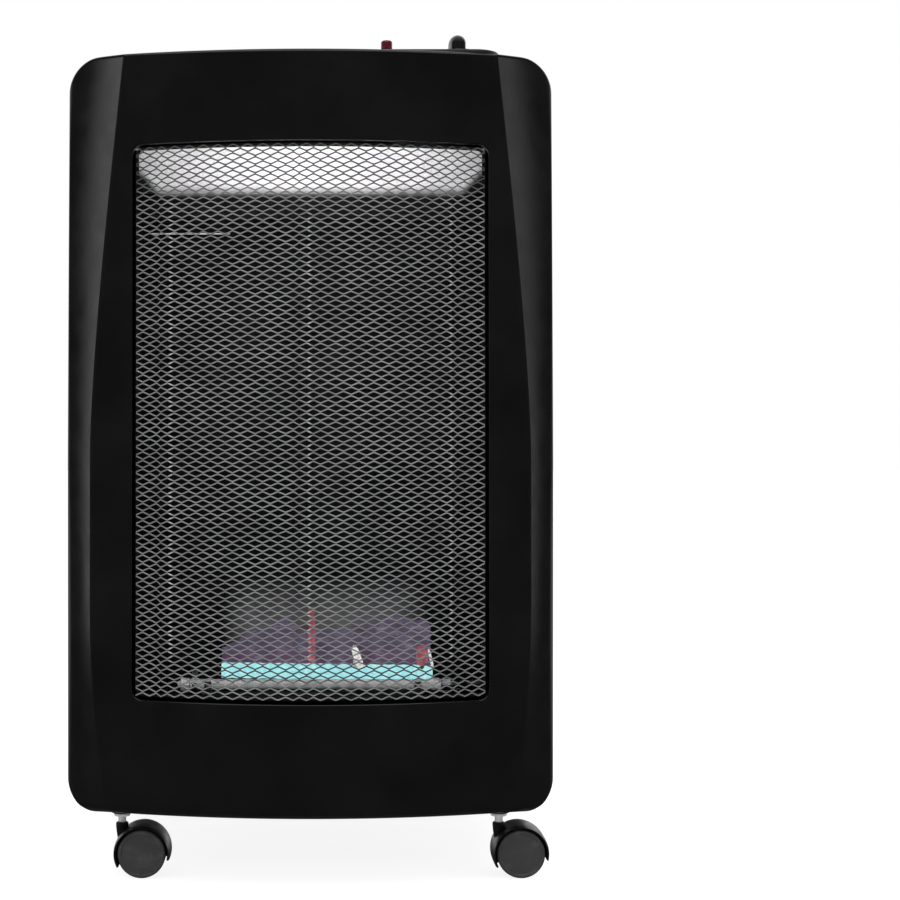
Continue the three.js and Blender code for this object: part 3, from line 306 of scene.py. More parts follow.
class Nodes:
    """A material's nodes, made and wired in short calls."""

    def __init__(self, name):
        self.material = bpy.data.materials.new(name)
        self.material.use_nodes = True
        self.tree = self.material.node_tree
        self.tree.nodes.clear()
        self.output = self.add("ShaderNodeOutputMaterial")
        self.place = self.add("ShaderNodeTexCoord").outputs["Object"]

    def add(self, kind, **settings):
        node = self.tree.nodes.new(kind)
        for key, value in settings.items():
            setattr(node, key, value)
        return node

    def link(self, source, target):
        self.tree.links.new(source, target)

    def put(self, socket, value):
        if isinstance(value, bpy.types.NodeSocket):
            self.link(value, socket)
        elif hasattr(value, "__len__") and len(socket.default_value) == 4:
            socket.default_value = (*value[:3], 1.0)
        else:
            socket.default_value = value

    def stretched(self, x, y, z):
        """Object coordinates scaled along each axis."""
        node = self.add("ShaderNodeMapping")
        self.link(self.place, node.inputs["Vector"])
        node.inputs["Scale"].default_value = (x, y, z)
        return node.outputs["Vector"]

    def noise(self, scale, detail=3.0, roughness=0.5, place=None):
        node = self.add("ShaderNodeTexNoise")
        self.link(place or self.place, node.inputs["Vector"])
        node.inputs["Scale"].default_value = scale
        node.inputs["Detail"].default_value = detail
        node.inputs["Roughness"].default_value = roughness
        return node.outputs["Fac"]

    def cells(self, scale):
        """Distance to the middle of the nearest of many small cells."""
        node = self.add("ShaderNodeTexVoronoi")
        self.link(self.place, node.inputs["Vector"])
        node.inputs["Scale"].default_value = scale
        return node.outputs["Distance"]

    def between(self, value, low, high, out_low, out_high, smooth=False):
        """Maps a value from one range to another, kept inside it."""
        node = self.add("ShaderNodeMapRange")
        if smooth:
            node.interpolation_type = "SMOOTHSTEP"
        self.link(value, node.inputs["Value"])
        for key, number in zip(RANGE, (low, high, out_low, out_high)):
            node.inputs[key].default_value = number
        return node.outputs["Result"]

    def mottle(self, scale, detail, *span):
        """Noise mapped from one range to another."""
        return self.between(self.noise(scale, detail), *span)

    def calc(self, operation, a, b=0.0):
        node = self.add("ShaderNodeMath", operation=operation)
        self.put(node.inputs[0], a)
        self.put(node.inputs[1], b)
        return node.outputs[0]

    def product(self, first, *others):
        for other in others:
            first = self.calc("MULTIPLY", first, other)
        return first

    def away(self, letter, middle):
        """Distance from a place on an axis."""
        return self.calc("ABSOLUTE", self.calc("SUBTRACT", self.axis(letter), middle))

    def band(self, letter, rise, fall, top=1.0):
        """A value that eases up over one stretch of an axis and down over a later one."""
        return self.product(self.between(self.axis(letter), *rise, 0.0, top, smooth=True),
                            self.between(self.axis(letter), *fall, 1.0, 0.0, smooth=True))

    def mix(self, factor, a, b):
        """A colour between two colours."""
        node = self.add("ShaderNodeMix", data_type="RGBA")
        self.put(node.inputs["Factor"], factor)
        self.put(node.inputs["A"], a)
        self.put(node.inputs["B"], b)
        return node.outputs["Result"]

    def axis(self, letter):
        node = self.add("ShaderNodeSeparateXYZ")
        self.link(self.place, node.inputs[0])
        return node.outputs[letter]

    def bevel(self, radius):
        node = self.add("ShaderNodeBevel", samples=3)
        node.inputs["Radius"].default_value = radius
        return node.outputs["Normal"]

    def bump(self, height, strength, distance, normal=None):
        node = self.add("ShaderNodeBump")
        self.link(height, node.inputs["Height"])
        node.inputs["Strength"].default_value = strength
        node.inputs["Distance"].default_value = distance
        if normal:
            self.link(normal, node.inputs["Normal"])
        return node.outputs["Normal"]

    def surface(self, **inputs):
        """The Principled shader, with its inputs by name, wired to the output."""
        shader = self.add("ShaderNodeBsdfPrincipled")
        names = {"colour": "Base Color", "roughness": "Roughness", "metal": "Metallic",
                 "specular": "Specular IOR Level", "coat": "Coat Weight",
                 "coat_roughness": "Coat Roughness", "normal": "Normal",
                 "emission": "Emission Color", "strength": "Emission Strength", "alpha": "Alpha"}
        for key, value in inputs.items():
            self.put(shader.inputs[names[key]], value)
        self.link(shader.outputs[0], self.output.inputs["Surface"])
        return self.material

    def glowing(self, emission, strength, alpha):
        """A surface that only shines."""
        return self.surface(colour=(0.0, 0.0, 0.0), roughness=1.0, specular=0.0,
                            emission=emission, strength=strength, alpha=alpha)


FINISHES = {}


def enamel():
    """Black gloss enamel: an even coat with faint orange peel and a trace of haze."""
    s = bpy.context.scene.heater_cabinet
    n = Nodes("black_enamel")
    tint = tuple(1.8 * c for c in s.enamel)
    haze = n.noise(14.0, 4.0)
    peel = n.noise(420.0, 2.0, 0.4)
    return n.surface(
        colour=n.mix(n.between(haze, 0.35, 0.7, 0.0, 1.0), tuple(s.enamel), tint),
        roughness=n.mottle(60.0, 5.0, 0.3, 0.7, s.gloss - 0.02, s.gloss + 0.05),
        specular=0.5, normal=n.bump(peel, 0.05, 0.0004))


def powder_coat():
    """Satin black powder coat: fine grain, edges rounded by the coat, a little dust."""
    s = bpy.context.scene.heater_cabinet
    n = Nodes("satin_black")
    dust = n.between(n.noise(35.0, 6.0, 0.65), 0.52, 0.75, 0.0, 1.0)
    worn = tuple(2.0 * c + 0.006 for c in s.powder)
    grain = n.noise(1900.0, 2.0, 0.6)
    return n.surface(
        colour=n.mix(dust, tuple(s.powder), worn), specular=0.45,
        roughness=n.mottle(240.0, 3.0, 0.3, 0.7, 0.40, 0.52),
        normal=n.bump(grain, 0.22, 0.0003, n.bevel(0.0009)))


def sooted_steel():
    """Heat-darkened sheet: matt, blotched, a trace of brown."""
    n = Nodes("sooted_steel")
    blotch = n.between(n.noise(22.0, 6.0, 0.6), 0.35, 0.7, 0.0, 1.0)
    streak = n.noise(60.0, 4.0, 0.6, n.stretched(1.0, 1.0, 0.12))
    return n.surface(
        colour=n.mix(blotch, (0.0030, 0.0030, 0.0038), (0.0095, 0.0088, 0.0090)), specular=0.25,
        roughness=n.between(streak, 0.3, 0.7, 0.6, 0.82), metal=0.2,
        normal=n.bump(streak, 0.2, 0.0006, n.bevel(0.0007)))


def guard_steel():
    """Dull expanded metal, with a painted highlight along the ribs' crests and painted shade at
    the top, and darker in a band before the burner's ports."""
    s = bpy.context.scene.heater_guard
    n = Nodes("guard_steel")
    dull = tuple(0.72 * c for c in s.steel)
    patches = n.mottle(45.0, 4.0, 0.35, 0.65, 0.0, 1.0)
    tint = n.mix(patches, dull, tuple(s.steel))
    # Painted highlight: the steel turns pale grey within about 2 mm of each rib's ridge, in
    # patches.
    near = [n.between(n.away("X", ridge), 0.0004, 0.0021, 1.0, 0.0, smooth=True)
            for ridge in RIDGES]
    crest = n.product(n.calc("MAXIMUM", n.calc("MAXIMUM", near[0], near[1]), near[2]),
                      n.mottle(130.0, 3.0, 0.38, 0.62, 0.25, 0.85),
                      n.band("Z", (0.185, 0.200), (0.555, 0.585)))
    tint = n.mix(crest, tint, (0.66, 0.66, 0.66))
    # Painted shade: the steel darkens towards near black above about 0.58 m, under the window's
    # head.
    top = n.between(n.axis("Z"), 0.578, 0.602, 0.0, 0.72, smooth=True)
    ports = n.product(n.band("Z", (0.174, 0.180), (0.189, 0.195), 0.8),
                      n.between(n.away("X", FLAME_X), 0.085, 0.093, 1.0, 0.0))
    return n.surface(
        colour=n.mix(n.calc("MAXIMUM", top, ports), tint, (0.030, 0.030, 0.032)), metal=0.35,
        roughness=n.mottle(900.0, 3.0, 0.3, 0.7, 0.42, 0.58),
        normal=n.bump(n.noise(1500.0, 2.0), 0.12, 0.0002))


def galvanised():
    """Speckled bright sheet: small spangles in greys close to white, soot patches, and near black
    below a line that rises near both ends.
    """
    n = Nodes("galvanised")
    spangle = n.cells(340.0)
    fleck = n.between(n.noise(620.0, 4.0, 0.7), 0.38, 0.66, 0.0, 1.0)
    soot = n.mottle(16.0, 4.0, 0.45, 0.75, 0.0, 0.35)
    base = n.mix(fleck, (0.60, 0.61, 0.62), (0.94, 0.94, 0.93))
    base = n.mix(soot, base, (0.40, 0.39, 0.38))
    # Near black below about 0.59 m, the line rising by up to 16 mm towards both ends of the sheet.
    corner = n.between(n.away("X", 0.0), 0.132, 0.152, 0.0, 0.016, smooth=True)
    height = n.calc("SUBTRACT", n.axis("Z"), corner)
    dark_below = n.between(height, 0.5925, 0.6040, 1.0, 0.0, smooth=True)
    return n.surface(
        colour=n.mix(dark_below, base, (0.008, 0.008, 0.008)), metal=0.08, specular=0.4,
        roughness=n.between(spangle, 0.0, 0.6, 0.34, 0.55),
        normal=n.bump(spangle, 0.18, 0.0004, n.bevel(0.0006)))


def plated(name, tint, grain=(1.0, 1.0, 1.0), low=0.16, high=0.3, bevel=0.0004):
    """Bright metal with fine drawn lines across its grain and a few dull spots."""
    n = Nodes(name)
    lines = n.noise(700.0, 3.0, 0.6, n.stretched(*grain))
    spots = n.mottle(120.0, 5.0, 0.5, 0.72, 0.0, 1.0)
    return n.surface(
        colour=n.mix(spots, tuple(tint), tuple(0.68 * c for c in tint)), metal=1.0,
        roughness=n.between(lines, 0.3, 0.7, low, high),
        normal=n.bump(lines, 0.1, 0.0002, n.bevel(bevel)))


def bright_steel():
    """Zinc-plated steel: pins, rods, pipes and the burner's tube."""
    return plated("bright_steel", bpy.context.scene.heater_casters.zinc, (0.15, 1.0, 1.0))


def satin_steel():
    """Pale brushed steel that scatters most of its light: the mixing tube, seen in a flame."""
    n = Nodes("satin_steel")
    lines = n.noise(900.0, 3.0, 0.6, n.stretched(0.2, 1.0, 1.0))
    stain = n.mottle(70.0, 5.0, 0.45, 0.7, 0.0, 1.0)
    return n.surface(
        colour=n.mix(stain, (0.93, 0.93, 0.92), (0.60, 0.60, 0.61)), metal=0.15,
        roughness=n.between(lines, 0.3, 0.7, 0.26, 0.42), normal=n.bump(lines, 0.15, 0.0002))


def brass():
    """Turned brass, faintly tarnished."""
    return plated("brass", (0.62, 0.43, 0.16), (1.0, 1.0, 0.2), 0.2, 0.36)


def moulded(name, tint, low, high, scale=1400.0, strength=0.16, gloss=0.4):
    """Moulded plastic: a fine eroded texture and slightly uneven gloss."""
    n = Nodes(name)
    scuffs = n.between(n.noise(90.0, 5.0, 0.6), 0.5, 0.75, 0.0, 1.0)
    return n.surface(
        colour=n.mix(scuffs, tuple(tint), tuple(1.5 * c + 0.004 for c in tint)), specular=gloss,
        roughness=n.mottle(200.0, 3.0, 0.3, 0.7, low, high),
        normal=n.bump(n.noise(scale, 2.0), strength, 0.0002, n.bevel(0.0004)))


def black_plastic():
    """Satin black moulding."""
    return moulded("black_plastic", bpy.context.scene.heater_controls.plastic, 0.30, 0.42)


def grey_plastic():
    """Dark grey wheel plastic, finely textured."""
    return moulded("grey_plastic", bpy.context.scene.heater_casters.wheel, 0.34, 0.46, 1100.0, 0.3,
                   0.42)


def red_plastic():
    """Dark red gloss plastic."""
    return moulded("red_plastic", bpy.context.scene.heater_controls.button, 0.14, 0.24, 500.0, 0.05,
                   0.5)


def ceramic():
    """Glazed white ceramic, a little smoked."""
    n = Nodes("white_ceramic")
    smoke = n.mottle(150.0, 4.0, 0.4, 0.7, 0.0, 1.0)
    return n.surface(colour=n.mix(smoke, (0.85, 0.83, 0.78), (0.45, 0.42, 0.38)), specular=0.5,
                     roughness=n.between(smoke, 0.0, 1.0, 0.18, 0.4),
                     normal=n.bump(n.noise(900.0), 0.08, 0.0002))


def hot_steel():
    """Steel strip glowing red in the flame, duller where it stands higher."""
    s = bpy.context.scene.heater_burner
    n = Nodes("hot_steel")
    patches = n.mottle(260.0, 4.0, 0.35, 0.7, 0.25, 1.0)
    height = n.between(n.axis("Z"), 0.186, 0.238, 1.0, 0.35)
    return n.surface(
        colour=(0.10, 0.04, 0.04), roughness=0.7, emission=tuple(s.glow),
        strength=n.product(patches, height),
        normal=n.bump(n.noise(800.0), 0.2, 0.0003))


def flame_root():
    """The bright band just above the ports: pale cyan, flecked with white."""
    s = bpy.context.scene.heater_burner
    n = Nodes("flame_root")
    flicker = n.mottle(240.0, 3.0, 0.3, 0.7, 0.78, 1.06)
    fleck = n.mottle(330.0, 2.0, 0.52, 0.7, 0.0, 0.6)
    return n.glowing(
        emission=n.mix(fleck, tuple(s.root), (0.8, 0.98, 1.0)), strength=flicker,
        alpha=n.mottle(160.0, 3.0, 0.3, 0.6, 0.86, 1.0))


def flame_body():
    """Thin violet flame, redder low on the left, with bright streaks."""
    s = bpy.context.scene.heater_burner
    n = Nodes("flame_body")
    streak = n.between(n.noise(200.0, 4.0, 0.7, n.stretched(0.35, 1.0, 1.0)), 0.55, 0.72, 0.0, 0.55)
    low = n.between(n.axis("Z"), 0.184, 0.206, 0.7, 0.0)
    warm = n.mix(n.product(low, n.mottle(30.0, 3.0, 0.4, 0.6, 0.0, 1.0)),
                 tuple(s.flame), (0.130, 0.055, 0.125))
    depth = n.between(n.noise(55.0, 4.0, 0.6), 0.35, 0.68, 0.65, 1.25)
    return n.glowing(
        emission=n.mix(streak, warm, (0.34, 0.30, 0.38)), strength=depth,
        alpha=n.between(n.noise(42.0, 4.0, 0.6), 0.3, 0.7, 0.70, 0.88))


def flame_tip():
    """Small yellow-white tips where the flame meets the probe and the electrode."""
    n = Nodes("flame_tip")
    core = n.mottle(420.0, 2.0, 0.35, 0.65, 0.0, 1.0)
    return n.glowing(
        emission=n.mix(core, (0.42, 0.40, 0.42), (0.90, 0.89, 0.84)), strength=1.0,
        alpha=n.mottle(300.0, 2.0, 0.3, 0.6, 0.80, 1.0))


def painted_flame_glow():
    """Painted glow over the flame: a faint grey veil that shines as painted light, thinning upwards
    and in patches.
    """
    n = Nodes("painted_flame_glow")
    rise = n.between(n.axis("Z"), 0.206, 0.262, 0.36, 0.0, smooth=True)
    edge = n.between(n.away("X", 0.0135), 0.060, 0.093, 1.0, 0.0, smooth=True)
    patch = n.between(n.noise(26.0, 4.0, 0.6), 0.34, 0.66, 0.45, 1.15)
    return n.glowing(emission=(0.15, 0.15, 0.155), strength=1.0,
                     alpha=n.product(rise, edge, patch))


MAKERS = {
    "black_enamel": enamel, "satin_black": powder_coat, "sooted_steel": sooted_steel,
    "guard_steel": guard_steel, "galvanised": galvanised, "bright_steel": bright_steel,
    "satin_steel": satin_steel, "brass": brass, "black_plastic": black_plastic,
    "grey_plastic": grey_plastic, "red_plastic": red_plastic, "white_ceramic": ceramic,
    "hot_steel": hot_steel,
    "flame_root": flame_root, "flame_body": flame_body, "painted_flame_glow": painted_flame_glow,
    "flame_tip": flame_tip,
}


def finish(name):
    """The finish of that name, made when it is first asked for."""
    if name not in FINISHES:
        FINISHES[name] = MAKERS[name]()
    return FINISHES[name]


def dress(*nodes):
    """Gives CAD nodes the finish of the record's slot that they name."""
    slots = {part["node"]: part["material_slot"] for part in frame["record"]["subparts"]}
    for node in nodes:
        mesh = frame["nodes"][node].data
        mesh.materials.clear()
        mesh.materials.append(finish(slots[node]))


# ---------------------------------------------------------------- the cabinet's form

def lean(z):
    """How far the front's middle line lies back: squares of the height above and below 0.2."""
    return (0.0105 * np.clip((z - 0.2) / 0.508, 0, None) ** 2
            + 0.0045 * np.clip((0.2 - z) / 0.143, 0, None) ** 2)


def ending(z):
    """0 at mid height and 1 at the top and the bottom: the fourth power of the height."""
    return ((z - 0.3825) / 0.3255) ** 4


def edge_bow(z):
    """How far the front has bowed back at the window's edge."""
    return 0.034 - 0.0124 * ending(z)


def crease_x(z):
    """Where the face creases into the pillar: widest between 0.24 and 0.37."""
    return (0.189 - 0.030 * np.clip((z - 0.37) / 0.338, 0, None) ** 1.4
            - 0.015 * np.clip((0.24 - z) / 0.183, 0, None) ** 2)


def side_line(z):
    """Where the pillar meets the flat side."""
    return (0.0585 + 0.0135 * np.clip((z - 0.35) / 0.358, 0, None) ** 1.2
            + 0.0015 * np.clip((0.35 - z) / 0.293, 0, None) ** 2)


def half_width(z):
    """Half the width, less what the quarter circles at the top and the bottom take off."""
    above, below = z - (TOP - TOP_CORNER), BOTTOM + BOTTOM_CORNER - z
    radius = np.where(above > 0, TOP_CORNER, BOTTOM_CORNER)
    beyond = np.clip(np.maximum(above, below), 0, radius)
    return HALF_WIDTH - radius + np.sqrt(radius ** 2 - beyond ** 2)


def front_roll(z):
    """A small quarter circle into the top and a long quarter ellipse under the bottom."""
    above = np.clip(z - (TOP - TOP_EDGE), 0, TOP_EDGE)
    below = np.clip((BOTTOM + ROLL_HEIGHT - z) / ROLL_HEIGHT, 0, 1)
    return (TOP_EDGE - np.sqrt(TOP_EDGE ** 2 - above ** 2)
            + ROLL_DEPTH * (1 - np.sqrt(1 - below ** 2)))


def face_depth(x, z):
    """The bowed face: a parabola up to the window's edge and a straight run beyond it, joined
    by a cubic that keeps both slopes."""
    bow, slope, reach = edge_bow(z), 0.23 + 0.08 * ending(z), 0.018
    near, far = EDGE - reach, EDGE + reach
    t = np.clip((x - near) / (far - near), 0, 1)
    y0, y1 = bow * (near / EDGE) ** 2, bow + slope * reach
    s0, s1 = 2 * bow * near / EDGE ** 2 * (far - near), slope * (far - near)
    eased = ((2 * t ** 3 - 3 * t ** 2 + 1) * y0 + (t ** 3 - 2 * t ** 2 + t) * s0
             + (3 * t ** 2 - 2 * t ** 3) * y1 + (t ** 3 - t ** 2) * s1)
    depth = np.where(x < near, bow * (x / EDGE) ** 2,
                     np.where(x > far, bow + slope * (x - EDGE), eased))
    return lean(z) + front_roll(z) + depth


def skirt_depth(z):
    """Where the front ends on the flat side: at the side line, swept back near the bottom."""
    swept = np.interp(z, [SKIRT, 0.074, 0.084, SWEPT], [0.088, 0.072, 0.0628, side_line(SWEPT)])
    return np.where(z < SKIRT - 1e-6, REAR, np.where(z < SWEPT, swept, side_line(z)))


def front_point(q, z):
    """The right half of the front. q runs 0 to 1 across the window, to 2 at the crease, to 3
    round the pillar, a curve drawn by three points, and to 4 along the flat side. Where a
    quarter circle takes width off, the curve stays and is held inside it by a soft minimum."""
    width = half_width(z)
    crease = np.minimum(crease_x(z), width - 0.006)
    depth = face_depth(crease, z)
    side = np.maximum(side_line(z), lean(z) + front_roll(z) + edge_bow(z) + 0.012) - SEAM
    knee = np.minimum(depth + 0.55 * (HALF_WIDTH - crease), side - 0.002)
    ease = np.clip(0.1 * (HALF_WIDTH - width), 1e-6, 0.0016)
    inner = BORDER * np.clip(q, 0, 1) + (crease - BORDER) * np.clip(q - 1, 0, 1)
    t = np.clip(q - 2, 0, 1)
    x = (1 - t) ** 2 * crease + (2 * t - t ** 2) * HALF_WIDTH
    x = np.where(q <= 2, inner, width - ease * np.logaddexp(0, (width - x) / ease))
    x = np.where(q >= 3, width, x)
    y = np.where(q <= 2, face_depth(inner, z),
                 (1 - t) ** 2 * depth + 2 * t * (1 - t) * knee + t ** 2 * side)
    y = np.where(q > 3, side + (skirt_depth(z) - side) * np.clip(q - 3, 0, 1), y)
    return x, y


def front_rows_and_columns():
    """Heights and q values of the front's grid, close together in the corners, with lines on
    the window's border and through the quarter circles at its corners."""
    quarter = np.linspace(0, np.pi / 2, 25)
    r, low, high = BORDER_ROUND, BORDER_LOW, BORDER_HIGH
    arc = np.linspace(0, np.pi / 2, 9)
    rise = r * np.sin(arc[:4])
    rows = np.concatenate([
        BOTTOM + BOTTOM_CORNER * (1 - np.sin(quarter[::-1])),
        [SKIRT - 2e-6, SKIRT],
        np.linspace(BOTTOM + BOTTOM_CORNER, low, 14), low + r - rise,
        np.linspace(low + r, high - r, 70), high - r + rise,
        np.linspace(high, TOP - TOP_CORNER, 10),
        TOP - TOP_CORNER * (1 - np.sin(quarter))])
    across = np.concatenate([
        np.linspace(0, BORDER - r, 30), BORDER - r + r * np.cos(arc[5:]), [BORDER]]) / BORDER
    beyond = 2 + np.linspace(0, 1, 41) ** 1.2
    columns = np.concatenate([across, np.linspace(1, 2, 12), beyond, np.linspace(3, 4, 5)])
    return np.unique(rows.round(8)), np.unique(columns.round(8))


def fascia_patches():
    """The front round its window, the flat top, the bottom pan with its rear, and the lip."""
    rows, half = front_rows_and_columns()
    columns = np.concatenate([-half[:0:-1], half])
    z, q = rows[:, None], columns[None, :]
    x, y = front_point(np.abs(q), z)
    mid_q = np.abs((columns[1:] + columns[:-1]) / 2)[None, :]
    mid_z = ((rows[1:] + rows[:-1]) / 2)[:, None]
    in_window = (mid_q < 1) & (mid_z > BORDER_LOW) & (mid_z < BORDER_HIGH)
    no_skirt = (mid_q > 3) & (mid_z > SWEPT)
    patches = [grid(at(np.sign(q) * x, y, z), keep=~(in_window | no_skirt))]

    # The flat top back to the side line, and the bottom pan back to the rear.
    inner = np.abs(columns) <= 3
    step = np.linspace(0, 1, 5)[:, None]
    for height, back in ((TOP, side_line(TOP) - SEAM), (BOTTOM, REAR)):
        x, y = front_point(np.abs(columns[inner]), np.array(height))
        x = np.sign(columns[inner]) * x
        patches.append(grid(at(x, y + (back - y) * step, height)))
    u = x / x.max()
    z = rows[rows <= SKIRT - 1e-6][:, None]
    patches.append(grid(at(u * half_width(z), REAR, z)))
    return patches + window_corners() + [window_lip(rows, half)]


def window_corners():
    """What lies between each square corner of the hole and its quarter circle."""
    r, a, low, high = BORDER_ROUND, BORDER, BORDER_LOW, BORDER_HIGH
    arc = np.linspace(0, np.pi / 2, 9)
    patches = []
    for sx in (-1, 1):
        for edge, sz in ((low, -1), (high, 1)):
            x, z = a - r + r * np.cos(arc), edge + sz * r * (np.sin(arc) - 1)
            square_x = np.where(arc <= np.pi / 4 + 1e-6, a, x)
            square_z = np.where(arc >= np.pi / 4 - 1e-6, edge, z)
            xs, zs = np.stack([x, square_x]), np.stack([z, square_z])
            patches.append(grid(at(sx * xs, face_depth(xs, zs), zs)))
    return patches


def window_lip(rows, half):
    """The window's border turned in: a quarter round of 1.6 mm and a straight lip behind it."""
    r, a, low, high = BORDER_ROUND, BORDER, BORDER_LOW, BORDER_HIGH
    arc = np.linspace(0, np.pi / 2, 9)
    up = rows[(rows > low + r + 1e-7) & (rows < high - r - 1e-7)]
    out = half[half < (a - r) / a - 1e-7] * a
    out = np.concatenate([-out[:0:-1], out])
    corner = np.stack([np.cos(arc), np.sin(arc)], -1)
    points, normals = [], []
    for straight, facing, centre, spin in (
            (np.stack([up * 0 + a, up], -1), (1, 0), (a - r, high - r), 0),
            (np.stack([-out, out * 0 + high], -1), (0, 1), (r - a, high - r), 1),
            (np.stack([up * 0 - a, up[::-1]], -1), (-1, 0), (r - a, low + r), 2),
            (np.stack([out, out * 0 + low], -1), (0, -1), (a - r, low + r), 3)):
        turn = np.linalg.matrix_power(np.array([[0, 1], [-1, 0]]), spin)
        points += [straight, np.array(centre) + r * corner @ turn]
        normals += [np.tile(facing, (len(straight), 1)), corner @ turn]
    points, normals = np.concatenate(points), np.concatenate(normals)
    bend = np.linspace(0, np.pi / 2, 7)
    inset = np.concatenate([LIP_ROUND * np.sin(bend), [LIP_ROUND] * 2])[:, None]
    back = np.concatenate([LIP_ROUND * (1 - np.cos(bend)), [0.004, LIP_DEPTH]])[:, None]
    x = points[:, 0] - inset * normals[:, 0]
    z = points[:, 1] - inset * normals[:, 1]
    return grid(at(x, face_depth(np.abs(x), z) + back, z), around=True)


def shell_patches():
    """The top and sides: a path up one side, over the top and down the other, and along it a
    profile that runs back, turns a rounded rear edge and comes in as a flange."""
    low = np.arcsin((BOTTOM + BOTTOM_CORNER - SKIRT - SEAM) / BOTTOM_CORNER)
    a = np.linspace(low, 0, 10)
    b = np.linspace(0, np.pi / 2, 22)
    up = np.concatenate([
        np.linspace(BOTTOM + BOTTOM_CORNER, 0.112, 6)[1:], np.linspace(0.112, 0.679, 44)[1:-1]])
    x = np.concatenate([HALF_WIDTH - BOTTOM_CORNER * (1 - np.cos(a)), up * 0 + HALF_WIDTH,
                        HALF_WIDTH - TOP_CORNER * (1 - np.cos(b)),
                        np.linspace(HALF_WIDTH - TOP_CORNER, 0, 12)[1:]])
    z = np.concatenate([BOTTOM + BOTTOM_CORNER * (1 - np.sin(a)), up,
                        TOP - TOP_CORNER * (1 - np.sin(b)), np.full(11, TOP)])
    nx = np.concatenate([np.cos(a), up * 0 + 1, np.cos(b), np.zeros(11)])
    nz = np.concatenate([-np.sin(a), up * 0, np.sin(b), np.ones(11)])
    x, nx = (np.concatenate([v, -v[-2::-1]]) for v in (x, nx))
    z, nz = (np.concatenate([v, v[-2::-1]]) for v in (z, nz))
    start = skirt_depth(np.maximum(z, SKIRT + 1e-5)) + SEAM
    round_ = 0.0025
    bend = np.linspace(0, np.pi / 2, 6)
    run = np.linspace(0, 1, 7)[:, None]
    y = np.concatenate([start + (REAR - round_ - start) * run,
                        np.tile((REAR - round_ + round_ * np.sin(bend[1:]))[:, None], len(x)),
                        np.full((3, len(x)), REAR)])
    inset = np.concatenate([np.zeros(7), round_ * (1 - np.cos(bend[1:])),
                            [0.008, 0.016, 0.0235]])[:, None]
    return [grid(at(x - inset * nx, y, z - inset * nz))]


class HEATER_OT_cabinet(bpy.types.Operator):
    """Makes the enamelled front and shell, and dresses the rear frame and panel"""
    bl_idname = "heater.cabinet"
    bl_label = "Cabinet"

    def execute(self, context):
        for name, patches, node in (("fascia_enamel", fascia_patches(), "front_fascia"),
                                    ("shell_enamel", shell_patches(), "cabinet_shell")):
            piece(name, patches, "cabinet", "black_enamel", [node], 40.0,
                  inside=(0.0, 0.09, 0.38), wall=SHEET)
        dress("rear_frame", "rear_panel")
        face = 0.1238
        screws = [(x, face, z) for x in (-0.176, 0.176) for z in (0.09, 0.22, 0.35, 0.48, 0.56)]
        screws += [(x, face, z) for x in (-0.09, 0.0, 0.09) for z in (0.09, 0.655)]
        head = [(0, 0), (0.0034, 0), (0.0034, 0.0005), (0.0030, 0.0012), (0.0019, 0.0018),
                (0.0010, 0.0019), (0.0007, 0.0011), (0, 0.0011)]
        piece("panel_screws", [turned(head, centre, "y", 14) for centre in screws], "cabinet",
              "bright_steel")
        return {"FINISHED"}


# ---------------------------------------------------------------- the guard

def smooth(t):
    """The cubic step 3t^2 - 2t^3 on 0 to 1."""
    t = np.clip(t, 0, 1)
    return t * t * (3 - 2 * t)


def rib_rise(x):
    """Height of the three pressed ribs as a share: a steep left flank, a flat crest up to the
    ridge, and a gentler right flank."""
    rise = np.zeros(np.shape(x))
    for ridge in RIDGES:
        up = smooth((x - ridge + 0.0116) / 0.0046)
        down = 1 - smooth((x - ridge + 0.0008) / 0.0076)
        rise = np.maximum(rise, np.where(x < ridge - 0.003, up, down))
    return rise


def guard_depth(x, z, rib):
    """The front's bow and lean, less the ribs, which fade out at both ends."""
    fade = smooth((z - 0.1748) / 0.012) * smooth((0.5864 - z) / 0.014)
    return 0.0004 + lean(z) + edge_bow(z) * (x / EDGE) ** 2 - rib * rib_rise(x) * fade


def lattice(s):
    """Expanded metal as zigzag bars from side to side. Along each bar the height steps between
    two bond lines in a flat-topped wave, and the places across are equal lengths measured along
    the bowed and ribbed sheet. A section is a rectangle tilted back at its upper edge."""
    dense = np.linspace(-0.1486, 0.1486, 6000)
    depth = guard_depth(dense, np.full(dense.shape, 0.38), s.rib)
    arc = np.concatenate([[0], np.cumsum(np.hypot(np.diff(dense), np.diff(depth)))])
    halves = int(round(2 * arc[-1] / s.long_pitch))
    bars = int(round(2 * (GUARD_HIGH - GUARD_LOW - 0.0006) / s.short_pitch))
    bond = 0.07
    k = np.arange(halves + 1)
    place = np.clip(np.stack([k - bond, k + bond], -1), 0, halves).ravel()
    x = np.interp(place * arc[-1] / halves, arc, dense)
    low = np.linspace(GUARD_LOW + 0.0003, GUARD_HIGH - 0.0003, bars + 1)
    step = low[1] - low[0]
    tall = s.strand * math.cos(s.tilt) + s.gauge * math.sin(s.tilt)
    high = (np.repeat(k, 2)[None, :] + np.arange(bars)[:, None]) % 2
    z = low[:-1, None] + tall / 2 + (step - tall) * high
    y = guard_depth(x[None, :], z, s.rib) + 0.0006
    wide = 0.5 * s.strand * np.array([math.sin(s.tilt), math.cos(s.tilt)])
    thick = 0.5 * s.gauge * np.array([math.cos(s.tilt), -math.sin(s.tilt)])
    corners = np.stack([thick - wide, thick + wide, wide - thick, -thick - wide])
    points = at(x[None, :, None], y[:, :, None] + corners[:, 0], z[:, :, None] + corners[:, 1])
    stations = len(x)
    keep = np.ones((bars * stations - 1, 4), bool)
    keep[stations - 1::stations] = False
    points, cells = grid(points.reshape(bars * stations, 4, 3), around=True, keep=keep)
    first = 4 * stations * np.arange(bars)[:, None]
    last = first + 4 * (stations - 1)
    caps = [first + np.array([[3, 2, 1, 0]]), last + np.array([[0, 1, 2, 3]])]
    return points, np.concatenate([cells, *caps])


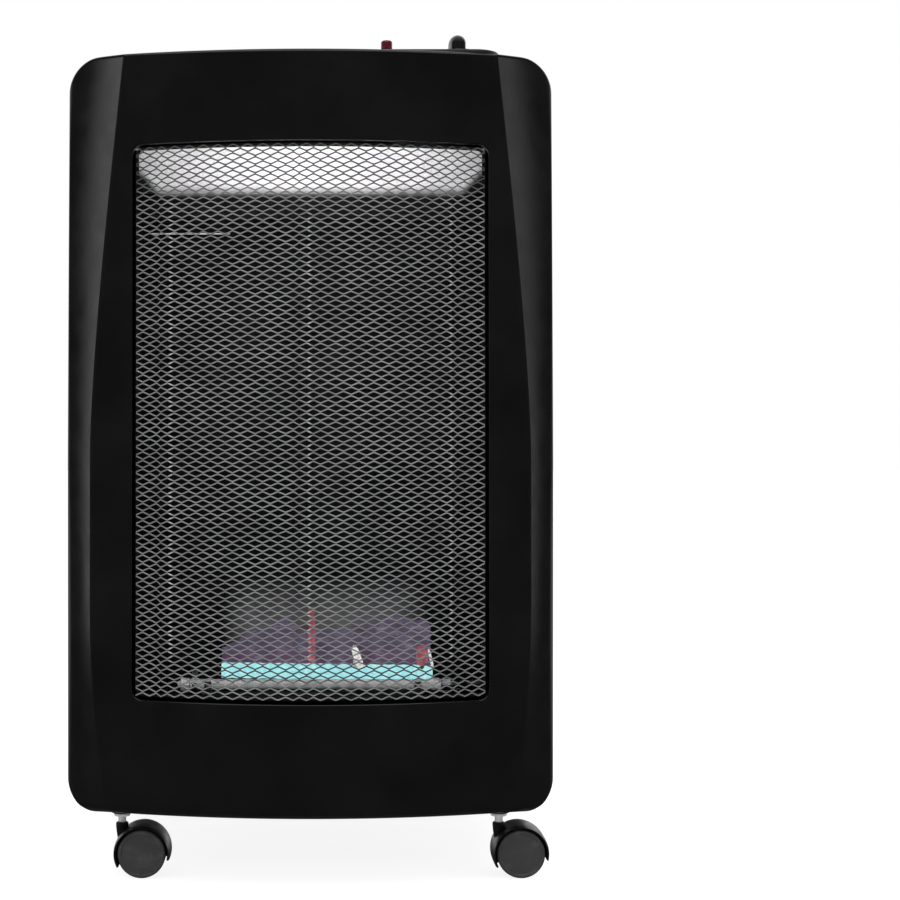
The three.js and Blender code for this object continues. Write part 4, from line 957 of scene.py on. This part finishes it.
def guard_border():
    """The guard's edge, folded back: a channel carried round a rectangle with round corners."""
    half_z = (GUARD_HIGH - GUARD_LOW) / 2
    loop, normal = rounded_loop(GUARD_HALF, half_z, 0.0065, 8, 40)
    section = [(0.0030, 0.0014), (0.0008, 0.0014), (0.0002, 0.0018), (0.0, 0.0026), (0.0, 0.016),
               (0.0010, 0.016), (0.0010, 0.0030), (0.0030, 0.0024)]
    inset, back = (np.array(column)[:, None] for column in zip(*section))
    x = loop[:, 0] - inset * normal[:, 0]
    z = (GUARD_LOW + GUARD_HIGH) / 2 + loop[:, 1] - inset * normal[:, 1]
    return grid(at(x, guard_depth(x, z, 0.0) + back, z), around=True, along=True)


class HEATER_OT_guard(bpy.types.Operator):
    """Makes the expanded-metal guard with its pressed ribs and folded edge"""
    bl_idname = "heater.guard"
    bl_label = "Guard"

    def execute(self, context):
        piece("guard_lattice", [lattice(context.scene.heater_guard)], "cabinet", "guard_steel",
              ["mesh_guard"], 50.0)
        piece("guard_border", [guard_border()], "cabinet", "sooted_steel")
        return {"FINISHED"}


# ---------------------------------------------------------------- chamber, burner and flame

def flat_end(patch, columns, column):
    """A fan that closes one end of a band whose grid is closed along its rows."""
    points = patch[0].reshape(-1, columns, 3)[:, column]
    middle = np.repeat(points.mean(0)[None, :], len(points), 0)
    return grid(np.stack([points, middle], 1), along=True)


def sheet_of(x, y, z, thick):
    """A thin closed curtain: a front and a rear face a little apart, joined round the edge."""
    x, y, z = np.broadcast_arrays(x, y, z)
    front, rear = at(x, y - thick / 2, z), at(x, y + thick / 2, z)
    return [grid(np.concatenate([front, rear[::-1]]), along=True),
            *[grid(np.stack([front[:, c], rear[:, c]], 1)) for c in (0, -1)]]


class HEATER_OT_burner(bpy.types.Operator):
    """Makes the mixing tube, its nut and the flame, and dresses the chamber"""
    bl_idname = "heater.burner"
    bl_label = "Chamber and burner"

    def execute(self, context):
        dress("chamber_bulkhead", "chamber_side_left", "chamber_side_right", "chamber_floor",
              "heat_deflector", "burner_head", "burner_bracket_left", "burner_bracket_right",
              "tube_clamp", "glow_bar", "pilot_bracket", "thermocouple", "ignition_electrode",
              "gas_pipe", "inlet_pipe", "gas_valve", "piezo_body")
        self.tube()
        self.flange()
        self.flame()
        self.glow()
        self.seam_highlight()
        return {"FINISHED"}

    def steel(self, name, patches, replaces=(), sharp=32.0):
        """A piece of pale steel on the cabinet, in the satin steel finish."""
        piece(name, patches, "cabinet", "satin_steel", replaces, sharp)

    def tube(self):
        """The mixing tube with its collar, and the six-sided nut at its end."""
        tube = [(0, -0.1035), (0.0040, -0.1035), (0.0044, -0.1031), (0.0044, 0.1035),
                (0.0050, 0.1040), (0.0054, 0.1052), (0.0054, 0.1098), (0.0050, 0.1110),
                (0.0044, 0.1115), (0.0044, 0.1120), (0, 0.1120)]
        self.steel("mixing_tube", [turned(tube, (0, TUBE_Y, TUBE_Z), "x", 28)], ["burner_tube"])
        nut = [(0, -0.1140), (0.0026, -0.1140), (0.0030, -0.1136), (0.0030, -0.1115),
               (0.0050, -0.1115), (0.0058, -0.1109), (0.0058, -0.1044), (0.0050, -0.1038),
               (0, -0.1038)]
        self.steel("tube_nut", [turned(nut, (0, TUBE_Y, TUBE_Z), "x", 6)], ["injector_nut"], 25.0)

    def flange(self):
        """The deflector's front flange, which follows the bow behind the guard."""
        x = np.linspace(-0.149, 0.149, 60)
        near = guard_depth(x, 0.629, 0.0) + 0.0185
        t = np.linspace(0, 1, 6)[:, None]
        flange = [at(x, near + (0.0510 - near) * t, z) for z in (0.6289, 0.6296)]
        ends = [grid(np.stack([flange[0][:, c], flange[1][:, c]], 1)) for c in (0, -1)]
        piece("deflector_flange",
              [grid(np.concatenate([flange[0], flange[1][::-1]]), along=True), *ends], "cabinet",
              "galvanised")

    def flame(self):
        """The band above the ports, the violet flame behind it and the painted glow over both."""
        x = np.linspace(-0.077, 0.1055, 92)
        ports = 0.5 + 0.5 * np.cos(2 * np.pi * x / 0.00905)
        loop = np.linspace(0, 2 * np.pi, 17)[:-1, None]
        thick, tall = 0.0100 + 0.0008 * ports, 0.0062 + 0.0005 * ports
        swell = np.sign(np.sin(loop)) * np.abs(np.sin(loop)) ** 0.5
        middle = 0.1784 - 0.0024 * (x - x[0]) / np.ptp(x)
        band = grid(at(x, 0.0660 + thick * np.cos(loop), middle + tall * swell), along=True)
        ends = [flat_end(band, 92, c) for c in (0, 91)]
        piece("flame_root", [band, *ends], "cabinet", "flame_root")
        x = np.linspace(-0.0775, 0.1050, 120)
        crown = np.interp(x, [-0.0775, -0.05, -0.0205, -0.008, 0.03, 0.055, 0.078, 0.105],
                          [0.1965, 0.211, 0.2235, 0.212, 0.2125, 0.218, 0.2255, 0.217])
        crown = crown + 0.0012 * np.sin(210 * x) + 0.0008 * np.sin(523 * x)
        t = np.linspace(0, 1, 12)[:, None]
        wave = 0.0010 * np.sin(55 * x)
        piece("flame_curtain",
              sheet_of(x, 0.0790 + wave * t, 0.180 + (crown - 0.180) * t, 0.0005),
              "cabinet", "flame_body")
        # A faint grey sheet that shines over the flame: painted light, not a lamp.
        piece("painted_glow_veil", sheet_of(x, 0.0845 - wave * t, 0.185 + 0.078 * t, 0.0005),
              "cabinet", "painted_flame_glow")

    def glow(self):
        """The probe's glowing end, and the tips on the probe and the electrode: rods that swell
        as the fourth power of the place along them."""
        ember = [(0, 0.1835), (0.0034, 0.1835), (0.0048, 0.1855), (0.0048, 0.1985),
                 (0.0030, 0.2005), (0, 0.2010)]
        piece("probe_glow", [turned(ember, (0.0965, 0.059, 0), "z", 18)], "cabinet",
              "hot_steel")
        t = np.linspace(0, 1, 9)[:, None]
        turn = np.linspace(0, 2 * np.pi, 17)[:-1]
        tips = []
        for (x0, z0), (x1, z1), r in (((0.0440, 0.1800), (0.0372, 0.2012), 0.0034),
                                      ((0.1062, 0.1800), (0.1018, 0.1985), 0.0012)):
            width = r * np.sqrt(np.clip(1 - (2 * t - 1) ** 4, 0, 1))
            tips.append(grid(at(x0 + (x1 - x0) * t + width * np.cos(turn),
                                0.0575 + width * np.sin(turn), z0 + (z1 - z0) * t + 0 * turn),
                             around=True))
        piece("flame_tips", tips, "cabinet", "flame_tip")

    def seam_highlight(self):
        """A bright line across the bulkhead, behind the guard's upper left: a pale rod along the
        bulkhead's seam, a painted highlight put only where the seam catches the light.
        """
        seam_highlight = [(0, -0.141), (0.0007, -0.141), (0.0007, -0.0716), (0, -0.0716)]
        self.steel("bulkhead_seam_highlight", [turned(seam_highlight, (0, 0.1034, 0.5615), "x", 10)])


# ---------------------------------------------------------------- controls

def plate_top(loop, centre, hole, split, side, z):
    """A flat face between part of an outline and a round hole: straight lines from the hole's
    edge to each point of the outline, whose open side is closed along x = split."""
    part = loop[side * (loop[:, 0] - split) >= -1e-6]
    start = np.argmax(np.hypot(*(part - np.roll(part, 1, 0)).T))
    part = np.roll(part, -start, 0)
    t = np.linspace(0, 1, 16)[1:-1, None]
    outer = np.concatenate([part, part[-1] + (part[0] - part[-1]) * t])
    away = outer - centre
    inner = centre + hole * away / np.hypot(*away.T)[:, None]
    ring = np.stack([inner, inner + (outer - inner) * 0.5, outer])
    return grid(at(ring[..., 0], ring[..., 1], z), around=True)


def control_plate():
    """A thin moulding with rounded edges, flat on top, with two holes and their short walls."""
    base, top = 0.7083, 0.7117
    centre = np.array([0.1045, 0.070])
    loop, normal = rounded_loop(0.0575, 0.038, 0.022, 14, 14)
    section = [(0.003, 0.0), (0.0, 0.0), (0.0, 0.0018), (0.0003, 0.0026), (0.0009, 0.0031),
               (0.0018, 0.0034)]
    rings = [centre + loop - inset * normal for inset, _ in section]
    heights = np.array([base + rise for _, rise in section])[:, None]
    rings = np.stack(rings)
    patches = [grid(at(rings[..., 0], rings[..., 1], heights), around=True)]
    split = rings[-1][np.argmin(np.abs(rings[-1][:, 0] - 0.098)), 0]
    for x, hole, side in ((BUTTON_X, 0.0074, -1), (KNOB_X, 0.0084, 1)):
        middle = np.array([x, CONTROL_Y])
        face = plate_top(rings[-1], middle, hole, split, side, top)
        rim = face[0].reshape(3, -1, 3)[0]
        down = rim.copy()
        down[:, 2] = base
        patches += [face, grid(np.stack([rim, down]), around=True)]
    return patches


def knob_grip():
    """A bar with an arched back, lofted front to back: the crown falls and narrows towards both
    ends as a circle does."""
    top, low, half, reach = 0.733, 0.7157, 0.0073, 0.0175
    f = np.sin(np.linspace(-np.pi / 2, np.pi / 2, 27))[:, None]
    fall = 1 - np.sqrt(1 - (0.965 * f) ** 2)
    crown, width = top - 0.007 * fall, half * (1 - 0.3 * fall)
    a = np.linspace(0, np.pi, 25)[None, :]
    x = np.concatenate([width * np.cos(a), -width, -width * 0.96, width * 0.96, width], 1)
    z = np.concatenate([crown - width + width * np.sin(a), 0 * f + low + 0.004, 0 * f + low,
                        0 * f + low, 0 * f + low + 0.004], 1)
    return pointed(at(KNOB_X + x, CONTROL_Y + reach * f, z))


class HEATER_OT_controls(bpy.types.Operator):
    """Makes the control plate, the bar knob and the red igniter"""
    bl_idname = "heater.controls"
    bl_label = "Controls"

    def execute(self, context):
        piece("control_plate", control_plate(), "cabinet", "satin_black", ["control_panel"], 40.0)
        skirt = [(0, 0.7145), (0.0180, 0.7145), (0.0186, 0.7150), (0.0186, 0.7168),
                 (0.0182, 0.7180), (0.0172, 0.7190), (0.0155, 0.7195), (0, 0.7195)]
        piece("knob_grip", [turned(skirt, (KNOB_X, CONTROL_Y, 0), "z", 72), knob_grip()], "knob",
              "black_plastic", ["control_knob"], 42.0)
        button = [(0, 0.686), (0.0044, 0.686), (0.0044, 0.7208), (0.0050, 0.7216),
                  (0.0050, 0.7268), (0.0048, 0.7279), (0.0043, 0.7286), (0.0035, 0.7290),
                  (0.0018, 0.7288), (0, 0.7287)]
        piece("igniter_cap", [turned(button, (BUTTON_X, CONTROL_Y, 0), "z", 40)], "igniter",
              "red_plastic", ["igniter_button"])
        dress("valve_stem")
        return {"FINISHED"}


# ---------------------------------------------------------------- folding rear

class HEATER_OT_rear(bpy.types.Operator):
    """Dresses the tray, the hanging guard and their brackets, and makes the rods and nozzle"""
    bl_idname = "heater.rear"
    bl_label = "Tray and rear guard"

    def execute(self, context):
        dress("hinge_bracket_left", "hinge_bracket_right", "base_tray", "guard_bracket",
              "rear_guard")
        for name, body, reach, y, z, node in (
                ("tray_rod", "tray", 0.2025, 0.1432, 0.0635, "tray_hinge_rod"),
                ("guard_rod", "guard", 0.1876, 0.1375, 0.678, "guard_hinge_rod")):
            rod = mirrored([(0, -reach), (0.0018, -reach + 0.0001), (0.0025, -reach + 0.0009)])
            piece(name, [turned(rod, (0, y, z), "x", 20)], body, "bright_steel", [node])
        start = 0.1244
        barbs = [(0.004, 0.009), (0.0052, 0.0096), (0.0052, 0.0100), (0.004, 0.0134)]
        tail = [(0, -0.002), (0.0036, -0.002), (0.0036, 0), (0.0076, 0), (0.0080, 0.0004),
                (0.0080, 0.0045), (0.0075, 0.0050), (0.004, 0.005)]
        tail += [(r, h + 0.005 * i) for i in range(3) for r, h in barbs]
        tail += [(0.004, 0.0246), (0.0036, 0.025), (0.0022, 0.025), (0.0022, 0.012), (0, 0.012)]
        tail = [(r, start - 0.0003 + h) for r, h in tail]
        piece("hose_tail", [turned(tail, (0.150, 0, 0.462), "y", 32)], "cabinet", "brass",
              ["hose_nozzle"])
        return {"FINISHED"}


# ---------------------------------------------------------------- casters

def caster_hood(x, y):
    """A crowned rim over the wheels, a web between them with a hub, and a flared boss."""
    axle = (x + AXLE_OUT, y, AXLE_HEIGHT)
    t = np.linspace(-1, 1, 15)
    crown = [(0.0246 - 0.0010 * u ** 4, 0.0185 * u) for u in t]
    inside = [(0.0226, 0.0176), (0.0222, 0.0168), (0.0224, 0.0), (0.0222, -0.0168),
              (0.0226, -0.0176)]
    web = mirrored([(0.0034, -0.0029), (0.0228, -0.0029)])
    hub = mirrored([(0.0034, -0.003), (0.0066, -0.003), (0.0070, -0.0026)])
    boss = [(0, 0.028), (0.0034, 0.028), (0.0050, 0.038), (0.0055, 0.0430), (0.0055, 0.0450),
            (0.0050, 0.0456), (0.0036, 0.0456), (0, 0.0456)]
    return [swept_arc(crown + inside, axle, -12, 208, 60), swept_arc(web, axle, -12, 208, 40),
            turned(hub, axle, "y", 32, closed=True), turned(boss, (x, y, 0), "z", 28)]


def caster_wheel(x, y, side):
    """A wheel turned about its axle: crowned tread, rolled rim, a shallow dished face and a
    blind bore."""
    profile = [(0.0032, 0.004), (0.0190, 0.004), (0.0203, 0.0043), (0.0207, 0.0052),
               (0.0208, 0.0066), (0.0208, 0.0140), (0.0206, 0.0153), (0.0201, 0.0163),
               (0.0193, 0.0169), (0.0186, 0.0170), (0.0179, 0.0168), (0.0174, 0.0163),
               (0.0170, 0.0160), (0.0164, 0.0160), (0.0120, 0.0162), (0.0060, 0.0163),
               (0, 0.0163), (0, 0.0155), (0.0032, 0.0155)]
    return turned([(r, side * h) for r, h in profile], (x + AXLE_OUT, y, AXLE_HEIGHT), "y", 56,
                  True)


class HEATER_OT_casters(bpy.types.Operator):
    """Makes the four twin-wheel casters"""
    bl_idname = "heater.casters"
    bl_label = "Casters"

    def execute(self, context):
        pin = [(0, 0.046), (0.0032, 0.046), (0.0035, 0.0463), (0.0035, 0.0513), (0.0064, 0.0513),
               (0.0070, 0.0517), (0.0070, 0.0531), (0.0066, 0.0536), (0.0035, 0.0536),
               (0.0035, 0.0672), (0.0030, 0.068), (0, 0.068)]
        socket = [(0, 0.071), (0, 0.073), (0.0062, 0.073), (0.0065, 0.0727), (0.0065, 0.0567),
                  (0.0098, 0.0567), (0.0100, 0.0560), (0.0094, 0.0546), (0.0084, 0.0540),
                  (0.0038, 0.0540), (0.0038, 0.071)]
        axle = mirrored([(0, -0.0152), (0.0026, -0.0152), (0.0030, -0.0148)])
        for place in PLACES:
            x = -CASTER_X if place.endswith("left") else CASTER_X
            y, carrier = (FRONT_Y, "cabinet") if place.startswith("front") else (REAR_Y, "tray")
            swivel, wheels = f"swivel_{place}", f"wheels_{place}"
            piece(f"socket_{place}", [turned(socket, (x, y, 0), "z", 32, True)], carrier,
                  "black_plastic", [f"caster_socket_{place}"])
            piece(f"pin_{place}", [turned(pin, (x, y, 0), "z", 28)], swivel, "satin_steel",
                  [f"caster_pin_{place}"])
            piece(f"hood_{place}", caster_hood(x, y), swivel, "black_plastic",
                  [f"caster_hood_{place}"], 40.0)
            piece(f"axle_{place}", [turned(axle, (x + AXLE_OUT, y, AXLE_HEIGHT), "y", 20)], wheels,
                  "bright_steel", [f"caster_axle_{place}"])
            for word, side in (("outer", -1), ("inner", 1)):
                piece(f"wheel_{word}_{place}", [caster_wheel(x, y, side)], wheels, "grey_plastic",
                      [f"caster_wheel_{word}_{place}"])
        return {"FINISHED"}


# ---------------------------------------------------------------- stage

class HEATER_OT_stage(bpy.types.Operator):
    """Makes the floor, the white surround, the lamps and the camera"""
    bl_idname = "heater.stage"
    bl_label = "Stage"

    def execute(self, context):
        scene, s = context.scene, context.scene.heater_stage
        scene.view_settings.view_transform = "Standard"

        self.surround(scene, s.fill)
        self.floor()
        self.lamp("panel_left", (-2.12, -1.22, 0.38), (0.44, 1.8), s.side, (-0.2, -0.14, 0.4))
        self.lamp("panel_right", (2.12, -1.22, 0.38), (0.44, 1.8), s.side * 0.55,
                  (0.2, -0.14, 0.4))
        glow = self.lamp("flame_light", (0.0, 0.047 - MIDDLE, 0.205), (0.24, 0.016),
                         scene.heater_burner.light, (0.0, 0.066 - MIDDLE, 0.61))
        glow.data.spread = math.radians(38)
        glow.visible_glossy = False
        self.lamp("panel_above", (0.0, -0.95, 2.5), (2.6, 1.8), s.overhead, (0, -0.1, 0.35))

        self.camera(scene, s)
        return {"FINISHED"}

    def camera(self, scene, s):
        """A level camera before the heater's middle, with its picture shifted to the side and
        down instead of turned."""
        data = bpy.data.cameras.new("view")
        scene.camera = added("view", data)
        scene.camera.location = (0.0, PLANE_Y - MIDDLE - s.reach, s.eye)
        scene.camera.rotation_euler = (math.pi / 2, 0, 0)
        frame_width = PICTURE * PIXEL
        data.sensor_width = 36.0
        data.lens = data.sensor_width * s.reach / frame_width
        data.shift_x = (PICTURE / 2 - MIDDLE_COLUMN) / PICTURE
        data.shift_y = (FLOOR_DROP * PIXEL - s.eye) / frame_width
        data.clip_start, data.clip_end = 0.05, 60.0

    def surround(self, scene, fill):
        """White for camera and see-through rays. In mirrors, white behind the heater and a dim
        room in front of it. A plain level of light for the rest."""
        scene.world = scene.world or bpy.data.worlds.new("Surround")
        scene.world.use_nodes = True
        tree = scene.world.node_tree
        tree.nodes.clear()
        path, place = tree.nodes.new("ShaderNodeLightPath"), tree.nodes.new("ShaderNodeTexCoord")
        split, ramp = tree.nodes.new("ShaderNodeSeparateXYZ"), tree.nodes.new("ShaderNodeMapRange")
        tree.links.new(place.outputs["Generated"], split.inputs[0])
        tree.links.new(split.outputs["Y"], ramp.inputs["Value"])
        ramp.interpolation_type = "SMOOTHSTEP"
        for key, value in zip(RANGE, (0.05, 0.55, DIM, 1.0)):
            ramp.inputs[key].default_value = value

        def choose(share, a, b):
            node = tree.nodes.new("ShaderNodeMix")
            tree.links.new(share, node.inputs["Factor"])
            for socket, value in ((node.inputs["A"], a), (node.inputs["B"], b)):
                if isinstance(value, float):
                    socket.default_value = value
                else:
                    tree.links.new(value, socket)
            return node.outputs["Result"]

        level = choose(path.outputs["Is Glossy Ray"], fill, ramp.outputs["Result"])
        level = choose(path.outputs["Is Transmission Ray"], level, 1.0)
        level = choose(path.outputs["Is Camera Ray"], level, 1.0)
        shader = tree.nodes.new("ShaderNodeBackground")
        shader.inputs["Color"].default_value = (1.0, 1.0, 1.0, 1.0)
        output = tree.nodes.new("ShaderNodeOutputWorld")
        tree.links.new(level, shader.inputs["Strength"])
        tree.links.new(shader.outputs[0], output.inputs["Surface"])

    def floor(self):
        """A wide flat floor: three fifths plain white and the rest shaded for the camera, which
        keeps the shadow. In mirrors, white behind the heater, fading to a dim room in front."""
        mesh = bpy.data.meshes.new("floor")
        reach = 14.0
        corners = [(-reach, -reach), (reach, -reach), (reach, reach), (-reach, reach)]
        mesh.from_pydata([(x, y, -0.0002) for x, y in corners], [], [(0, 1, 2, 3)])
        floor = added("floor", mesh)
        n = Nodes("floor")
        path = n.add("ShaderNodeLightPath")
        diffuse, glow, both = (n.add(kind) for kind in (
            "ShaderNodeBsdfDiffuse", "ShaderNodeEmission", "ShaderNodeMixShader"))
        diffuse.inputs["Color"].default_value = (0.86, 0.86, 0.86, 1)
        mirror = n.calc("MAXIMUM", path.outputs["Is Glossy Ray"],
                       path.outputs["Is Transmission Ray"])
        seen = n.product(path.outputs["Is Camera Ray"], 0.60)
        n.link(n.calc("MAXIMUM", mirror, seen), both.inputs[0])
        behind = n.between(n.axis("Y"), -0.10, 0.45, DIM, 1.0, smooth=True)
        plain = n.product(path.outputs["Is Camera Ray"], 1.45)
        n.link(n.calc("MAXIMUM", n.product(mirror, behind), plain), glow.inputs["Strength"])
        n.link(diffuse.outputs[0], both.inputs[1])
        n.link(glow.outputs[0], both.inputs[2])
        n.link(both.outputs[0], n.output.inputs["Surface"])
        mesh.materials.append(n.material)

    def lamp(self, name, place, size, power, target):
        """A rectangular lamp turned to a target, out of the camera's sight."""
        data = bpy.data.lights.new(name, "AREA")
        data.shape = "RECTANGLE"
        data.size, data.size_y = size
        data.energy = power
        lamp = added(name, data)
        lamp.location = place
        aim = Vector(target) - Vector(place)
        lamp.rotation_euler = aim.to_track_quat("-Z", "Y").to_euler()
        lamp.visible_camera = False
        return lamp


# ---------------------------------------------------------------- add-on

GROUPS = (("heater_cabinet", CabinetSettings), ("heater_guard", GuardSettings),
          ("heater_burner", BurnerSettings), ("heater_controls", ControlSettings),
          ("heater_casters", CasterSettings), ("heater_stage", StageSettings))
OPERATORS = (HEATER_OT_stage, HEATER_OT_cabinet, HEATER_OT_guard, HEATER_OT_burner,
             HEATER_OT_controls, HEATER_OT_rear, HEATER_OT_casters)


class HEATER_PT_panel(bpy.types.Panel):
    """Sizes, colours and the buttons that make each group of pieces"""
    bl_idname = "HEATER_PT_panel"
    bl_label = "Gas cabinet heater"
    bl_space_type = "VIEW_3D"
    bl_region_type = "UI"
    bl_category = "Heater"

    def draw(self, context):
        for name, group in GROUPS:
            box = self.layout.box()
            box.label(text=group.__doc__)
            for key in group.__annotations__:
                box.prop(getattr(context.scene, name), key)
        for operator in OPERATORS:
            self.layout.operator(operator.bl_idname)


def register():
    for name, group in GROUPS:
        bpy.utils.register_class(group)
        setattr(bpy.types.Scene, name, PointerProperty(type=group))
    for operator in OPERATORS:
        bpy.utils.register_class(operator)
    bpy.utils.register_class(HEATER_PT_panel)


def unregister():
    bpy.utils.unregister_class(HEATER_PT_panel)
    for operator in reversed(OPERATORS):
        bpy.utils.unregister_class(operator)
    for name, group in reversed(GROUPS):
        delattr(bpy.types.Scene, name)
        bpy.utils.unregister_class(group)


def main():
    register()
    for operator in OPERATORS:
        group, name = operator.bl_idname.split(".")
        getattr(getattr(bpy.ops, group), name)()


if __name__ == "__main__":
    main()
